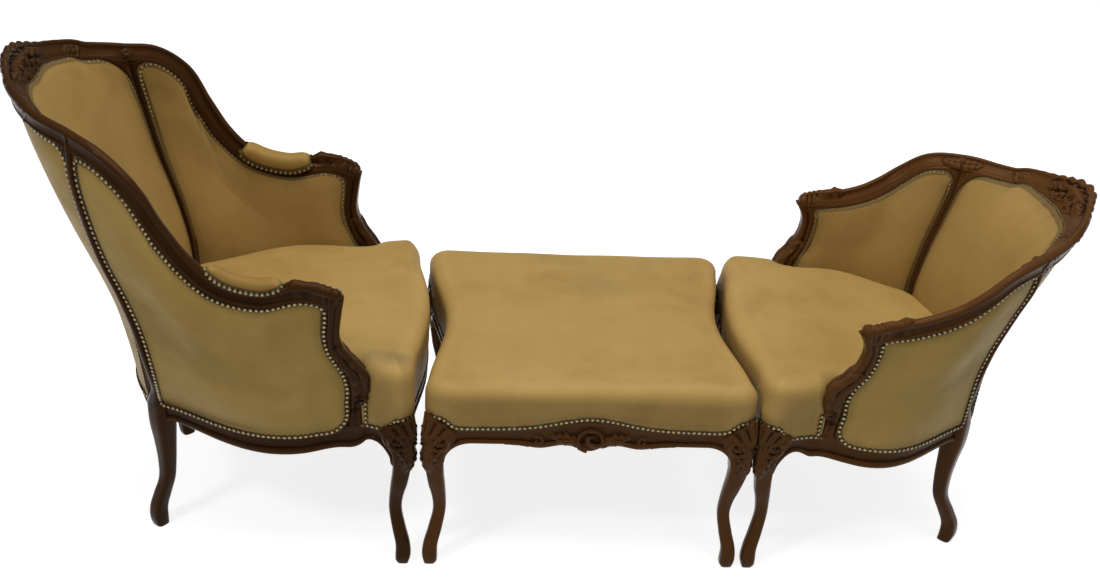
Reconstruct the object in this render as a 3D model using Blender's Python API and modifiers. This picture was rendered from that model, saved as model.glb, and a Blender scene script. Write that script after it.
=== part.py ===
"""Duchesse brisee: a tall bergere, a stool and a lower bergere that stand end to end.

Metres, +Z up, floor at z = 0. The sections stand in a row along X: the tall bergere on the
-X side faces +X, the lower one on the +X side faces -X, and the stool is between them.
Each section is modelled in its own axes: e runs back from the front knees, y is across
and z is up.
"""
import math

import bmesh
import bpy
import numpy as np

# Clearance between touching pieces
SEAM = 0.0003

# Seat rails, shared by the three sections
SEAT_RAIL_TOP = 0.345
SEAT_RAIL_HEIGHT = 0.050
SEAT_RAIL_THICKNESS = 0.036
RAIL_ARCH_RISE = 0.015
SIDE_RAIL_SAG = 0.015
SIDE_RAIL_DROP = 0.006

# Legs
KNEE_BLOCK_WIDTH = 0.066
KNEE_LEAF_HEIGHT = 0.022
KNEE_LEAF_THICKNESS = 0.010
LEG_SWING = 0.025
REAR_BLOCK_WIDTH = 0.050
REAR_ANKLE_INSET = 0.005

# Posts and top rails of the bergeres
STILE_WIDTH = 0.033
STILE_THICKNESS = 0.034
ARM_POST_WIDTH = 0.058
ARM_POST_THICKNESS = 0.036
TOP_RAIL_WIDTH = 0.045
TOP_RAIL_THICKNESS = 0.038
HAND_LENGTH = 0.016
CREST_LEAF_WIDTH = 0.136

# Upholstery
LEATHER = 0.0025
WEBBING_THICKNESS = 0.002
WEBBING_INSET = 0.012
PAD_EDGE = 0.011
PAD_BACK = 0.0035
PANEL_FACE = 0.007
PANEL_THICKNESS = 0.004
PANEL_CROWN = 0.007
PANEL_FOOT_FLARE = 0.006
SIDE_PAD_CROWN = 0.024
BACK_PAD_CROWN = 0.034
SEAT_EDGE_BULGE = 0.005
SEAT_EDGE_ROUNDING = 0.036
SEAT_CORNER_RADIUS = 0.044
SEAT_SKIRT_INSET = 0.002

# Stool
STOOL_LENGTH = 0.694
STOOL_WIDTH = 0.632
STOOL_END_HOLLOW = 0.038
STOOL_SEAT_EDGE = 0.115
STOOL_SEAT_CROWN = 0.014
STOOL_LIP_RISE = 0.001
STOOL_LIP_THICKNESS = 0.009
STOOL_SHELL_RISE = 0.028
STOOL_SHELL_WIDTH = 0.176

# Both bergeres, whose knees stand in line with the stool's
KNEE_SPREAD = STOOL_WIDTH
FRONT_RAIL_BOW = 0.036
SEAT_CROWN = 0.012

# Tall bergere
LARGE_GAP = 0.017
LARGE_BACK_REACH = 0.791
LARGE_ARM_HALF_WIDTH = 0.303
LARGE_CREST_HEIGHT = 0.983
LARGE_CREST_LEAF = 0.021
LARGE_REAR_LEG_KICK = 0.025
LARGE_SEAT_FRONT_HEIGHT = 0.143
LARGE_SEAT_POST_HEIGHT = 0.152
LARGE_SEAT_REAR_HEIGHT = 0.104
ARM_PAD_WIDTH = 0.046
ARM_PAD_HEIGHT = 0.024

# Lower bergere
SMALL_GAP = 0.006
SMALL_BACK_REACH = 0.697
SMALL_ARM_HALF_WIDTH = 0.303
SMALL_CREST_HEIGHT = 0.783
SMALL_CREST_LEAF = 0.009
SMALL_REAR_LEG_KICK = 0.040
SMALL_SEAT_FRONT_HEIGHT = 0.128
SMALL_SEAT_POST_HEIGHT = 0.132
SMALL_SEAT_REAR_HEIGHT = 0.084

# Angle in degrees under which two facets left by a cut count as one flat face
FLAT_ANGLE = 0.2

# Counts
ARM_RAIL_STATIONS = 10
CREST_STATIONS = 13
STILE_STATIONS = 9
ARM_POST_STATIONS = 10
SIDE_RAIL_STATIONS = 11
BACK_RAIL_STATIONS = 8
FRONT_RAIL_STATIONS = 9
LONG_RAIL_STATIONS = 13
SEAT_CELLS = 6
SIDE_WALL_CELLS = (5, 3)
BACK_WALL_CELLS = (6, 4)
WEBBING_CELLS = 5
ARM_PAD_STATIONS = 7

# Top rail from the hand to the middle of the crest, as shares of the back reach, of the
# half width at the arms, and of the crest's height above the seat rails
LARGE_TOP_SHARES = (
    (0.207, 0.977, 0.478), (0.271, 0.987, 0.500), (0.391, 0.993, 0.474),
    (0.492, 0.993, 0.507), (0.570, 0.997, 0.594), (0.631, 1.003, 0.713),
    (0.684, 0.980, 0.837), (0.745, 0.904, 0.901), (0.814, 0.776, 0.926),
    (0.906, 0.604, 0.957), (0.976, 0.347, 0.984), (1.000, 0.000, 1.000))
SMALL_TOP_SHARES = (
    (0.276, 1.010, 0.596), (0.331, 1.003, 0.611), (0.407, 0.993, 0.631),
    (0.478, 0.993, 0.667), (0.539, 1.000, 0.719), (0.598, 0.990, 0.793),
    (0.661, 0.944, 0.872), (0.764, 0.805, 0.915), (0.850, 0.627, 0.928),
    (0.925, 0.422, 0.953), (0.976, 0.185, 0.982), (1.000, 0.000, 1.000))

# Back upright from the seat rail to the top rail, in the same shares
LARGE_STILE_SHARES = (
    (0.675, 0.601, 0.000), (0.676, 0.776, 0.163), (0.698, 0.815, 0.318),
    (0.726, 0.832, 0.442), (0.755, 0.851, 0.550), (0.786, 0.865, 0.705),
    (0.806, 0.842, 0.829), (0.814, 0.776, 0.926))
SMALL_STILE_SHARES = (
    (0.668, 0.660, 0.000), (0.670, 0.710, 0.191), (0.692, 0.733, 0.416),
    (0.727, 0.759, 0.618), (0.758, 0.792, 0.798), (0.764, 0.805, 0.915))

# Arm post from the seat rail to the hand, in the same shares
LARGE_ARM_POST_SHARES = (
    (0.163, 0.878, 0.000), (0.161, 0.891, 0.085), (0.155, 0.908, 0.147),
    (0.163, 0.921, 0.194), (0.185, 0.937, 0.240), (0.206, 0.954, 0.287),
    (0.215, 0.964, 0.333), (0.212, 0.974, 0.405), (0.207, 0.977, 0.478))
SMALL_ARM_POST_SHARES = (
    (0.226, 0.911, 0.000), (0.233, 0.924, 0.124), (0.228, 0.941, 0.213),
    (0.245, 0.957, 0.292), (0.270, 0.974, 0.348), (0.291, 0.990, 0.438),
    (0.294, 1.003, 0.528), (0.276, 1.010, 0.596))

# Width of an arm post up its height, from foot to hand, as shares of its greatest width
ARM_POST_WIDTH_SHARES = (0.64, 0.66, 0.86, 1.00, 0.98, 0.80, 0.64, 0.62, 0.66, 0.74)

# Middle of the back from the seat rail to the crest, as shares of reach and height
LARGE_SPINE_SHARES = (
    (0.748, 0.000), (0.752, 0.085), (0.782, 0.287), (0.852, 0.535), (0.930, 0.775),
    (1.000, 1.000))
SMALL_SPINE_SHARES = (
    (0.764, 0.000), (0.778, 0.169), (0.812, 0.416), (0.880, 0.708), (0.946, 0.899),
    (1.000, 1.000))

# Side rail in plan from the front leg to the arm post, as shares of the back reach and of
# half the spread of the knees
LARGE_RAIL_FRONT_SHARES = ((0.037, 0.9176), (0.094, 0.8476), (0.131, 0.8198))
SMALL_RAIL_FRONT_SHARES = ((0.042, 0.9243), (0.113, 0.8793), (0.170, 0.8543))

# Side rail in plan from the arm post to the rear leg, and the back rail, as shares of the
# back reach and of the half width at the arms
LARGE_RAIL_SIDE_SHARES = (
    (0.163, 0.878), (0.239, 0.917), (0.302, 0.954), (0.365, 0.947), (0.429, 0.904),
    (0.492, 0.835), (0.555, 0.749), (0.618, 0.660), (0.675, 0.601))
SMALL_RAIL_SIDE_SHARES = (
    (0.226, 0.911), (0.283, 0.950), (0.354, 0.985), (0.410, 0.975), (0.467, 0.930),
    (0.530, 0.850), (0.594, 0.759), (0.668, 0.660))
LARGE_RAIL_BACK_SHARES = ((0.675, 0.601), (0.726, 0.330), (0.748, 0.000))
SMALL_RAIL_BACK_SHARES = ((0.668, 0.660), (0.728, 0.363), (0.764, 0.000))

# Cabriole leg from floor to seat rail: height share of the rail's top, set-back share of
# the swing, width share of the knee block
FRONT_LEG_SHARES = (
    (0.00, 0.35, 0.42), (0.05, 0.15, 0.50), (0.13, 0.20, 0.48), (0.24, 0.60, 0.45),
    (0.38, 1.00, 0.40), (0.48, 0.96, 0.42), (0.57, 0.72, 0.50), (0.68, 0.36, 0.64),
    (0.78, 0.10, 0.80), (0.86, 0.00, 0.93), (1.00, 0.00, 1.00))

# Rear leg from floor to seat rail: height share, kick share, inset share, width share
REAR_LEG_SHARES = (
    (0.00, 0.95, 1.2, 0.60), (0.05, 1.03, 0.9, 0.68), (0.13, 1.00, 0.8, 0.68),
    (0.24, 0.60, 1.0, 0.66), (0.36, 0.10, 1.2, 0.62), (0.50, -0.05, 0.9, 0.68),
    (0.66, -0.05, 0.4, 0.82), (0.80, 0.00, 0.0, 0.98), (0.96, 0.00, 0.0, 1.00))

# Rounded section of a wooden member, as shares of its half width and half thickness
SECTION_SHARES = (
    (1.0, 0.45), (0.55, 1.0), (-0.55, 1.0), (-1.0, 0.45),
    (-1.0, -0.45), (-0.55, -1.0), (0.55, -1.0), (1.0, -0.45))

# Where an arm pad starts and ends, as shares of the way from the hand to the back upright
ARM_PAD_SHARES = (0.17, 0.43)

# Share of a wall left out along its edges, which lie inside the members round it
WALL_MARGIN_SHARE = 0.012

# Edge of a stuffed seat from its foot to its top: height share, out share of the bulge,
# in share of the rounding
SEAT_EDGE_SHARES = (
    (0.00, 0.0, 0.00), (0.35, 1.0, 0.00), (0.62, 0.8, 0.00), (0.86, 0.0, 0.30),
    (1.00, 0.0, 1.00))

WALNUT = (0.060, 0.026, 0.014, 1.0)
LEATHER_TAN = (0.430, 0.215, 0.045, 1.0)
HORSEHAIR = (0.090, 0.060, 0.040, 1.0)
JUTE = (0.420, 0.330, 0.200, 1.0)


def new_collection(name):
    """An empty collection linked to the scene."""
    collection = bpy.data.collections.new(name)
    bpy.context.scene.collection.children.link(collection)
    return collection


def new_material(name, colour, roughness):
    """A plain Principled BSDF material."""
    material = bpy.data.materials.new(name)
    material.use_nodes = True
    shader = material.node_tree.nodes["Principled BSDF"]
    shader.inputs["Base Color"].default_value = colour
    shader.inputs["Roughness"].default_value = roughness
    return material


for old in list(bpy.data.objects):
    bpy.data.objects.remove(old, do_unlink=True)

PART = new_collection("duchesse_brisee")
CUTTERS = new_collection("cutters")


def unit(vector):
    """The vector at length one."""
    return vector / np.linalg.norm(vector)


class Curve:
    """A smooth curve through points, measured by the chords between them."""

    def __init__(self, points):
        self.points = np.array(points, dtype=float)
        chords = np.linalg.norm(np.diff(self.points, axis=0), axis=1)
        self.knots = np.concatenate(([0.0], np.cumsum(chords)))
        slopes = np.diff(self.points, axis=0) / chords[:, None]
        before = chords[:-1, None]
        after = chords[1:, None]
        middle = (after * slopes[:-1] + before * slopes[1:]) / (before + after)
        first = 2 * slopes[0] - middle[0]
        last = 2 * slopes[-1] - middle[-1]
        self.slopes = np.vstack((first, middle, last))

    def at(self, distance):
        """The point at a distance along the chords."""
        last_chord = len(self.knots) - 2
        k = int(np.clip(np.searchsorted(self.knots, distance) - 1, 0, last_chord))
        chord = self.knots[k + 1] - self.knots[k]
        s = (distance - self.knots[k]) / chord
        start = (2 * s**3 - 3 * s**2 + 1) * self.points[k]
        end = (3 * s**2 - 2 * s**3) * self.points[k + 1]
        leave = (s**3 - 2 * s**2 + s) * chord * self.slopes[k]
        arrive = (s**3 - s**2) * chord * self.slopes[k + 1]
        return start + end + leave + arrive

    def share(self, s):
        """The point at a share of the whole length."""
        return self.at(s * self.knots[-1])


def spread(count):
    """Evenly spaced shares from 0 to 1."""
    return [k / (count - 1) for k in range(count)]


def resample(points, cells):
    """Points at even distances along a chain of points."""
    points = np.array(points)
    steps = np.linalg.norm(np.diff(points, axis=0), axis=1)
    run = np.concatenate(([0.0], np.cumsum(steps)))
    marks = [run[-1] * k / cells for k in range(cells + 1)]
    return np.array([[np.interp(m, run, points[:, axis]) for axis in range(points.shape[1])]
                     for m in marks])


def patch(bottom, top, start, end):
    """A surface spanned between four edge curves that share their corners."""
    corners = (bottom(0.0), bottom(1.0), top(0.0), top(1.0))

    def at(u, v):
        across = (1 - v) * bottom(u) + v * top(u)
        along = (1 - u) * start(v) + u * end(v)
        low = (1 - u) * corners[0] + u * corners[1]
        high = (1 - u) * corners[2] + u * corners[3]
        return across + along - (1 - v) * low - v * high

    return at


def add_mesh(name, points, faces, collection):
    """A new object from points and faces, with its faces turned outwards."""
    mesh = bpy.data.meshes.new(name)
    mesh.from_pydata([tuple(p) for p in points], [], faces)
    shape = bmesh.new()
    shape.from_mesh(mesh)
    bmesh.ops.recalc_face_normals(shape, faces=shape.faces)
    if shape.calc_volume(signed=True) < 0:
        bmesh.ops.reverse_faces(shape, faces=shape.faces)
    shape.to_mesh(mesh)
    shape.free()
    thing = bpy.data.objects.new(name, mesh)
    collection.objects.link(thing)
    return thing


def halves(a, b, c, d):
    """The two triangles of a four-sided facet, split from its first corner."""
    return [(a, b, c), (a, c, d)]


def loft(name, rings, collection=PART, mirrored_from=None):
    """A solid through rings of equally many points, closed at both ends.

    From the ring mirrored_from on, the facets are split as a mirror image splits them.
    """
    sides = len(rings[0])
    points = [p for ring in rings for p in ring]
    faces = []
    for k in range(len(rings) - 1):
        low = k * sides
        high = low + sides
        for i in range(sides):
            j = (i + 1) % sides
            if mirrored_from is None or k < mirrored_from:
                faces += halves(low + i, low + j, high + j, high + i)
            else:
                faces += halves(low + j, high + j, high + i, low + i)
    faces.append(tuple(range(sides)))
    faces.append(tuple((len(rings) - 1) * sides + i for i in range(sides)))
    return add_mesh(name, points, faces, collection)


def slab(name, face, back, collection=PART):
    """A solid between two grids of points with the same cells."""
    columns = len(face)
    rows = len(face[0])
    points = [p for column in face for p in column] + [p for column in back for p in column]
    behind = columns * rows
    faces = []
    for i in range(columns - 1):
        for j in range(rows - 1):
            a = i * rows + j
            b = (i + 1) * rows + j
            faces += halves(a, b, b + 1, a + 1)
            faces += halves(a + behind, b + behind, b + 1 + behind, a + 1 + behind)
    edge = [i * rows for i in range(columns)]
    edge += [(columns - 1) * rows + j for j in range(1, rows)]
    edge += [i * rows + rows - 1 for i in range(columns - 2, -1, -1)]
    edge += [j for j in range(rows - 2, 0, -1)]
    for k, a in enumerate(edge):
        b = edge[(k + 1) % len(edge)]
        faces.append((a, b, b + behind, a + behind))
    return add_mesh(name, points, faces, collection)


def section(centre, wide, deep, half_widths, half_depths, grow=0.0):
    """One ring of a wooden member: half sizes are given for each direction and its reverse."""
    ring = []
    for a, b in SECTION_SHARES:
        reach = half_widths[0] if a > 0 else half_widths[1]
        thick = half_depths[0] if b > 0 else half_depths[1]
        ring.append(centre + wide * a * (reach + grow) + deep * b * (thick + grow))
    return ring


def body_volume(faces):
    """Volume inside a set of faces."""
    total = 0.0
    for face in faces:
        first = face.verts[0].co
        for k in range(1, len(face.verts) - 1):
            total += first.dot(face.verts[k].co.cross(face.verts[k + 1].co))
    return abs(total)


def keep_main_body(mesh):
    """Drop the offcuts that a cut leaves beyond the cutting piece."""
    shape = bmesh.new()
    shape.from_mesh(mesh)
    unseen = set(shape.faces)
    bodies = []
    while unseen:
        front = [unseen.pop()]
        body = list(front)
        while front:
            face = front.pop()
            for edge in face.edges:
                for other in edge.link_faces:
                    if other in unseen:
                        unseen.discard(other)
                        front.append(other)
                        body.append(other)
        bodies.append(body)
    bodies.sort(key=body_volume, reverse=True)
    offcuts = [face for body in bodies[1:] for face in body]
    bmesh.ops.delete(shape, geom=offcuts, context="FACES")
    bmesh.ops.dissolve_limit(shape, angle_limit=math.radians(FLAT_ANGLE), verts=shape.verts,
                             edges=shape.edges)
    shape.to_mesh(mesh)
    shape.free()


def settle(piece):
    """Turn a piece's modifiers into plain mesh."""
    bpy.context.view_layer.update()
    graph = bpy.context.evaluated_depsgraph_get()
    mesh = bpy.data.meshes.new_from_object(piece.evaluated_get(graph))
    piece.modifiers.clear()
    piece.data = mesh


def split_to_triangles(mesh):
    """Split what faces have more than three sides."""
    shape = bmesh.new()
    shape.from_mesh(mesh)
    bmesh.ops.triangulate(shape, faces=shape.faces)
    shape.to_mesh(mesh)
    shape.free()


def cut(piece, cutters):
    """Take the cutters away from a piece, all in one cut."""
    split_to_triangles(piece.data)
    tools = bpy.data.collections.new(piece.name + "_cutters")
    for cutter in cutters:
        tools.objects.link(cutter)
    trim = piece.modifiers.new("trim", "BOOLEAN")
    trim.operation = "DIFFERENCE"
    trim.solver = "EXACT"
    trim.operand_type = "COLLECTION"
    trim.collection = tools
    settle(piece)
    keep_main_body(piece.data)


def finish(piece, material, parent):
    """Give a piece its own material, smooth shading and its section."""
    own = material.copy()
    own.name = piece.name
    piece.data.materials.clear()
    piece.data.materials.append(own)
    piece.data.shade_smooth()
    piece.data.set_sharp_from_angle(angle=math.radians(40))
    piece.parent = parent


def guide(cutter, parent):
    """Mark a cutter as a helper that isn't part of the object."""
    split_to_triangles(cutter.data)
    cutter.hide_render = True
    cutter.display_type = "WIRE"
    cutter.parent = parent
    return cutter


class Section:
    """One standing section: an empty on the floor at its front, and a sense along X."""

    def __init__(self, name, facing, front):
        self.name = name
        self.facing = facing
        self.empty = bpy.data.objects.new(name + "_section", None)
        self.empty.location = (facing * front, 0.0, 0.0)
        PART.objects.link(self.empty)

    def place(self, points, side=1):
        """Section points (e, y, z) as points in the empty's axes."""
        return [(self.facing * p[0], side * p[1], p[2]) for p in points]

    def rings(self, rings, side=1):
        """Rings or columns of section points in the empty's axes."""
        return [self.place(ring, side) for ring in rings]

    def hand(self, side):
        """Left or right of someone sitting in the section."""
        return "left" if side * self.facing < 0 else "right"


def leg_rings(front, outer, turn, grow=0.0):
    """Rings of a cabriole leg whose knee's outer corner is at (front, outer)."""
    rings = []
    for height, setback, width in FRONT_LEG_SHARES:
        half = KNEE_BLOCK_WIDTH * width / 2
        inset = LEG_SWING * setback + half
        centre = np.array((front + turn * inset, outer - inset, SEAT_RAIL_TOP * height))
        wide = np.array((-turn, 0.0, 0.0))
        deep = np.array((0.0, 1.0, 0.0))
        rings.append(section(centre, wide, deep, (half, half), (half, half), grow))
    rings[-1] = [p + np.array((0.0, 0.0, grow)) for p in rings[-1]]
    leaf = KNEE_LEAF_THICKNESS + grow
    base = rings[-1]
    ledge = []
    for p in base:
        q = p.copy()
        q[0] = front + turn * min(turn * (p[0] - front), leaf * 2)
        q[1] = outer - min(outer - p[1], leaf * 2)
        ledge.append(q)
    corner = np.array((front + turn * leaf, outer - leaf, 0.0))
    tip = []
    for q in ledge:
        r = corner + (q - corner) / 2
        r[2] = SEAT_RAIL_TOP + KNEE_LEAF_HEIGHT + grow
        tip.append(r)
    return rings + [tip]


def rail_rings(line, stations, arch, lip_rise=None, grow=0.0):
    """Rings of a seat rail along a plan curve; arch gives its lower edge's rise."""
    half = SEAT_RAIL_THICKNESS / 2 + grow
    top = SEAT_RAIL_TOP + grow
    rings = []
    step = 1 / stations
    for s in spread(stations):
        here = line(s)
        ahead = line(min(s + step, 1.0)) - line(max(s - step, 0.0))
        along = unit(ahead[:2])
        out = np.array((-along[1], along[0]))
        bottom = SEAT_RAIL_TOP - SEAT_RAIL_HEIGHT + arch(s) - grow
        round_off = SEAT_RAIL_THICKNESS / 6
        shape = ((-half, top), (half - round_off / 2, top), (half, top - round_off / 2),
                 (half, bottom + 2 * round_off), (half - round_off, bottom), (-half, bottom))
        if lip_rise:
            inner = half - STOOL_LIP_THICKNESS - 2 * grow
            high = top + lip_rise(here[0])
            shape = ((-half, top), (inner, top), (inner, high), (half - round_off / 2, high),
                     (half, high - round_off / 2)) + shape[3:]
        rings.append([np.array((here[0] + out[0] * o, here[1] + out[1] * o, z))
                      for o, z in shape])
    return rings


def scallop(s):
    """Rise of a rail's lower edge: high near the legs, with a drop in the middle."""
    hollow = 1 - abs(2 * s - 1) ** 6
    drop = math.exp(-((s - 0.5) / 0.16) ** 2)
    return RAIL_ARCH_RISE * (hollow - 0.7 * drop)


def side_scallop(s):
    """Rise of a side rail's lower edge: low in its middle, with a drop by the arm post."""
    front = math.exp(-((s - 0.1) / 0.06) ** 2)
    drop = math.exp(-((s - 0.2) / 0.04) ** 2)
    sag = math.sin(math.pi * max(s - 0.1, 0.0) / 0.9) ** 2
    return 0.7 * RAIL_ARCH_RISE * front - SIDE_RAIL_DROP * drop - SIDE_RAIL_SAG * sag


def shell_rise(x):
    """Rise of the stool's long rails towards the carved shell in their middle."""
    return STOOL_LIP_RISE + STOOL_SHELL_RISE * math.exp(-(2 * x / STOOL_SHELL_WIDTH) ** 2)


def outward(outline):
    """Level outward directions along a closed plan outline."""
    count = len(outline)
    turn = sum(outline[k - 1][0] * outline[k][1] - outline[k][0] * outline[k - 1][1]
               for k in range(count))
    directions = []
    for k in range(count):
        ahead = outline[(k + 1) % count] - outline[k - 1]
        directions.append(unit(np.array((ahead[1], -ahead[0]))) * np.sign(turn))
    return directions


def seat_edge_loops(outline, height):
    """Loops of a stuffed seat's edge round a plan outline, from its foot to its top."""
    directions = outward(outline)
    loops = []
    for rise, bulge, inset in SEAT_EDGE_SHARES:
        move = SEAT_EDGE_BULGE * bulge - SEAT_EDGE_ROUNDING * inset - SEAT_SKIRT_INSET
        loop = []
        for p, out in zip(outline, directions):
            z = SEAT_RAIL_TOP + SEAM + height(p) * rise
            loop.append(np.array((p[0] + out[0] * move, p[1] + out[1] * move, z)))
        loops.append(loop)
    return loops


def seat_shape(name, section_axes, outline, height, crown, collection=PART):
    """A stuffed seat: a rounded edge round the outline and a crowned top."""
    cells = SEAT_CELLS
    loops = seat_edge_loops(outline, height)
    rim = np.array(loops[-1])
    sides = [Curve(rim[k * cells:(k + 1) * cells + 1] if k < 3
                   else np.vstack((rim[3 * cells:], rim[:1]))) for k in range(4)]

    def edge(k, s):
        place = s * cells
        low = min(int(place), cells - 1)
        points = sides[k].points
        return points[low] + (points[low + 1] - points[low]) * (place - low)

    top = patch(lambda u: edge(0, u), lambda u: edge(2, 1 - u),
                lambda v: edge(3, 1 - v), lambda v: edge(1, v))
    points = [p for loop in loops for p in loop]
    count = len(outline)
    faces = []
    for k in range(len(loops) - 1):
        for i in range(count):
            j = (i + 1) % count
            faces += halves(k * count + i, k * count + j, (k + 1) * count + j,
                            (k + 1) * count + i)
    last = (len(loops) - 1) * count
    index = {}
    for i in range(cells + 1):
        index[(i, 0)] = last + i
        index[(cells, i)] = last + cells + i
        index[(cells - i, cells)] = last + 2 * cells + i
        index[(0, cells - i)] = last + (3 * cells + i) % count
    for i in range(1, cells):
        for j in range(1, cells):
            u = i / cells
            v = j / cells
            swell = (1 - abs(2 * u - 1) ** 2.5) * (1 - abs(2 * v - 1) ** 2.5)
            p = top(u, v)
            p[2] += crown * swell ** 0.75
            index[(i, j)] = len(points)
            points.append(p)
    for i in range(cells):
        for j in range(cells):
            faces += halves(index[(i, j)], index[(i + 1, j)], index[(i + 1, j + 1)],
                            index[(i, j + 1)])
    faces.append(tuple(range(count)))
    return add_mesh(name, section_axes.place(points), faces, collection)


def open_foot(piece):
    """Take away a seat's flat foot, so that its skin is left."""
    shape = bmesh.new()
    shape.from_mesh(piece.data)
    shape.verts.ensure_lookup_table()
    foot = max(shape.faces, key=lambda face: len(face.verts))
    bmesh.ops.delete(shape, geom=[foot], context="FACES_ONLY")
    shape.to_mesh(piece.data)
    shape.free()


def shrink(piece, inset, floor):
    """Draw a solid's skin in along its normals and lift its foot to a floor."""
    shape = bmesh.new()
    shape.from_mesh(piece.data)
    foot = max(shape.faces, key=lambda face: len(face.verts))
    low = set(foot.verts)
    bmesh.ops.delete(shape, geom=[foot], context="FACES_ONLY")
    shape.normal_update()
    moves = {v: v.normal.copy() for v in shape.verts}
    for v, normal in moves.items():
        v.co -= normal * inset
        if v in low:
            v.co.z = floor
    border = [edge for edge in shape.edges if edge.is_boundary]
    bmesh.ops.contextual_create(shape, geom=border)
    bmesh.ops.recalc_face_normals(shape, faces=shape.faces)
    shape.to_mesh(piece.data)
    shape.free()


def webbing_grid(name, section_axes, outline, collection=PART):
    """Crossed straps laid over the rails inside an outline."""
    cells = len(outline) // 4
    inner = np.array([p - out * WEBBING_INSET for p, out in zip(outline, outward(outline))])
    parts = [inner[k * cells:(k + 1) * cells + 1] for k in range(3)]
    parts.append(np.vstack((inner[3 * cells:], inner[:1])))

    def edge(k, s):
        place = s * cells
        low = min(int(place), cells - 1)
        return parts[k][low] + (parts[k][low + 1] - parts[k][low]) * (place - low)

    plan = patch(lambda u: edge(0, u), lambda u: edge(2, 1 - u),
                 lambda v: edge(3, 1 - v), lambda v: edge(1, v))
    z = SEAT_RAIL_TOP + SEAM
    points = []
    for i in range(WEBBING_CELLS + 1):
        for j in range(WEBBING_CELLS + 1):
            p = plan(i / WEBBING_CELLS, j / WEBBING_CELLS)
            points.append(np.array((p[0], p[1], z)))
    faces = []
    rows = WEBBING_CELLS + 1
    for i in range(WEBBING_CELLS):
        for j in range(WEBBING_CELLS):
            if i % 2 == 0 or j % 2 == 0:
                a = i * rows + j
                faces.append((a, a + rows, a + rows + 1, a + 1))
    mesh = bpy.data.meshes.new(name)
    mesh.from_pydata(section_axes.place(points), [], faces)
    shape = bmesh.new()
    shape.from_mesh(mesh)
    bmesh.ops.recalc_face_normals(shape, faces=shape.faces)
    shape.faces.ensure_lookup_table()
    if shape.faces[0].normal.z < 0:
        bmesh.ops.reverse_faces(shape, faces=shape.faces)
    shape.to_mesh(mesh)
    shape.free()
    straps = bpy.data.objects.new(name, mesh)
    collection.objects.link(straps)
    solid = straps.modifiers.new("thickness", "SOLIDIFY")
    solid.thickness = WEBBING_THICKNESS
    solid.offset = 1.0
    return straps


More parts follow.
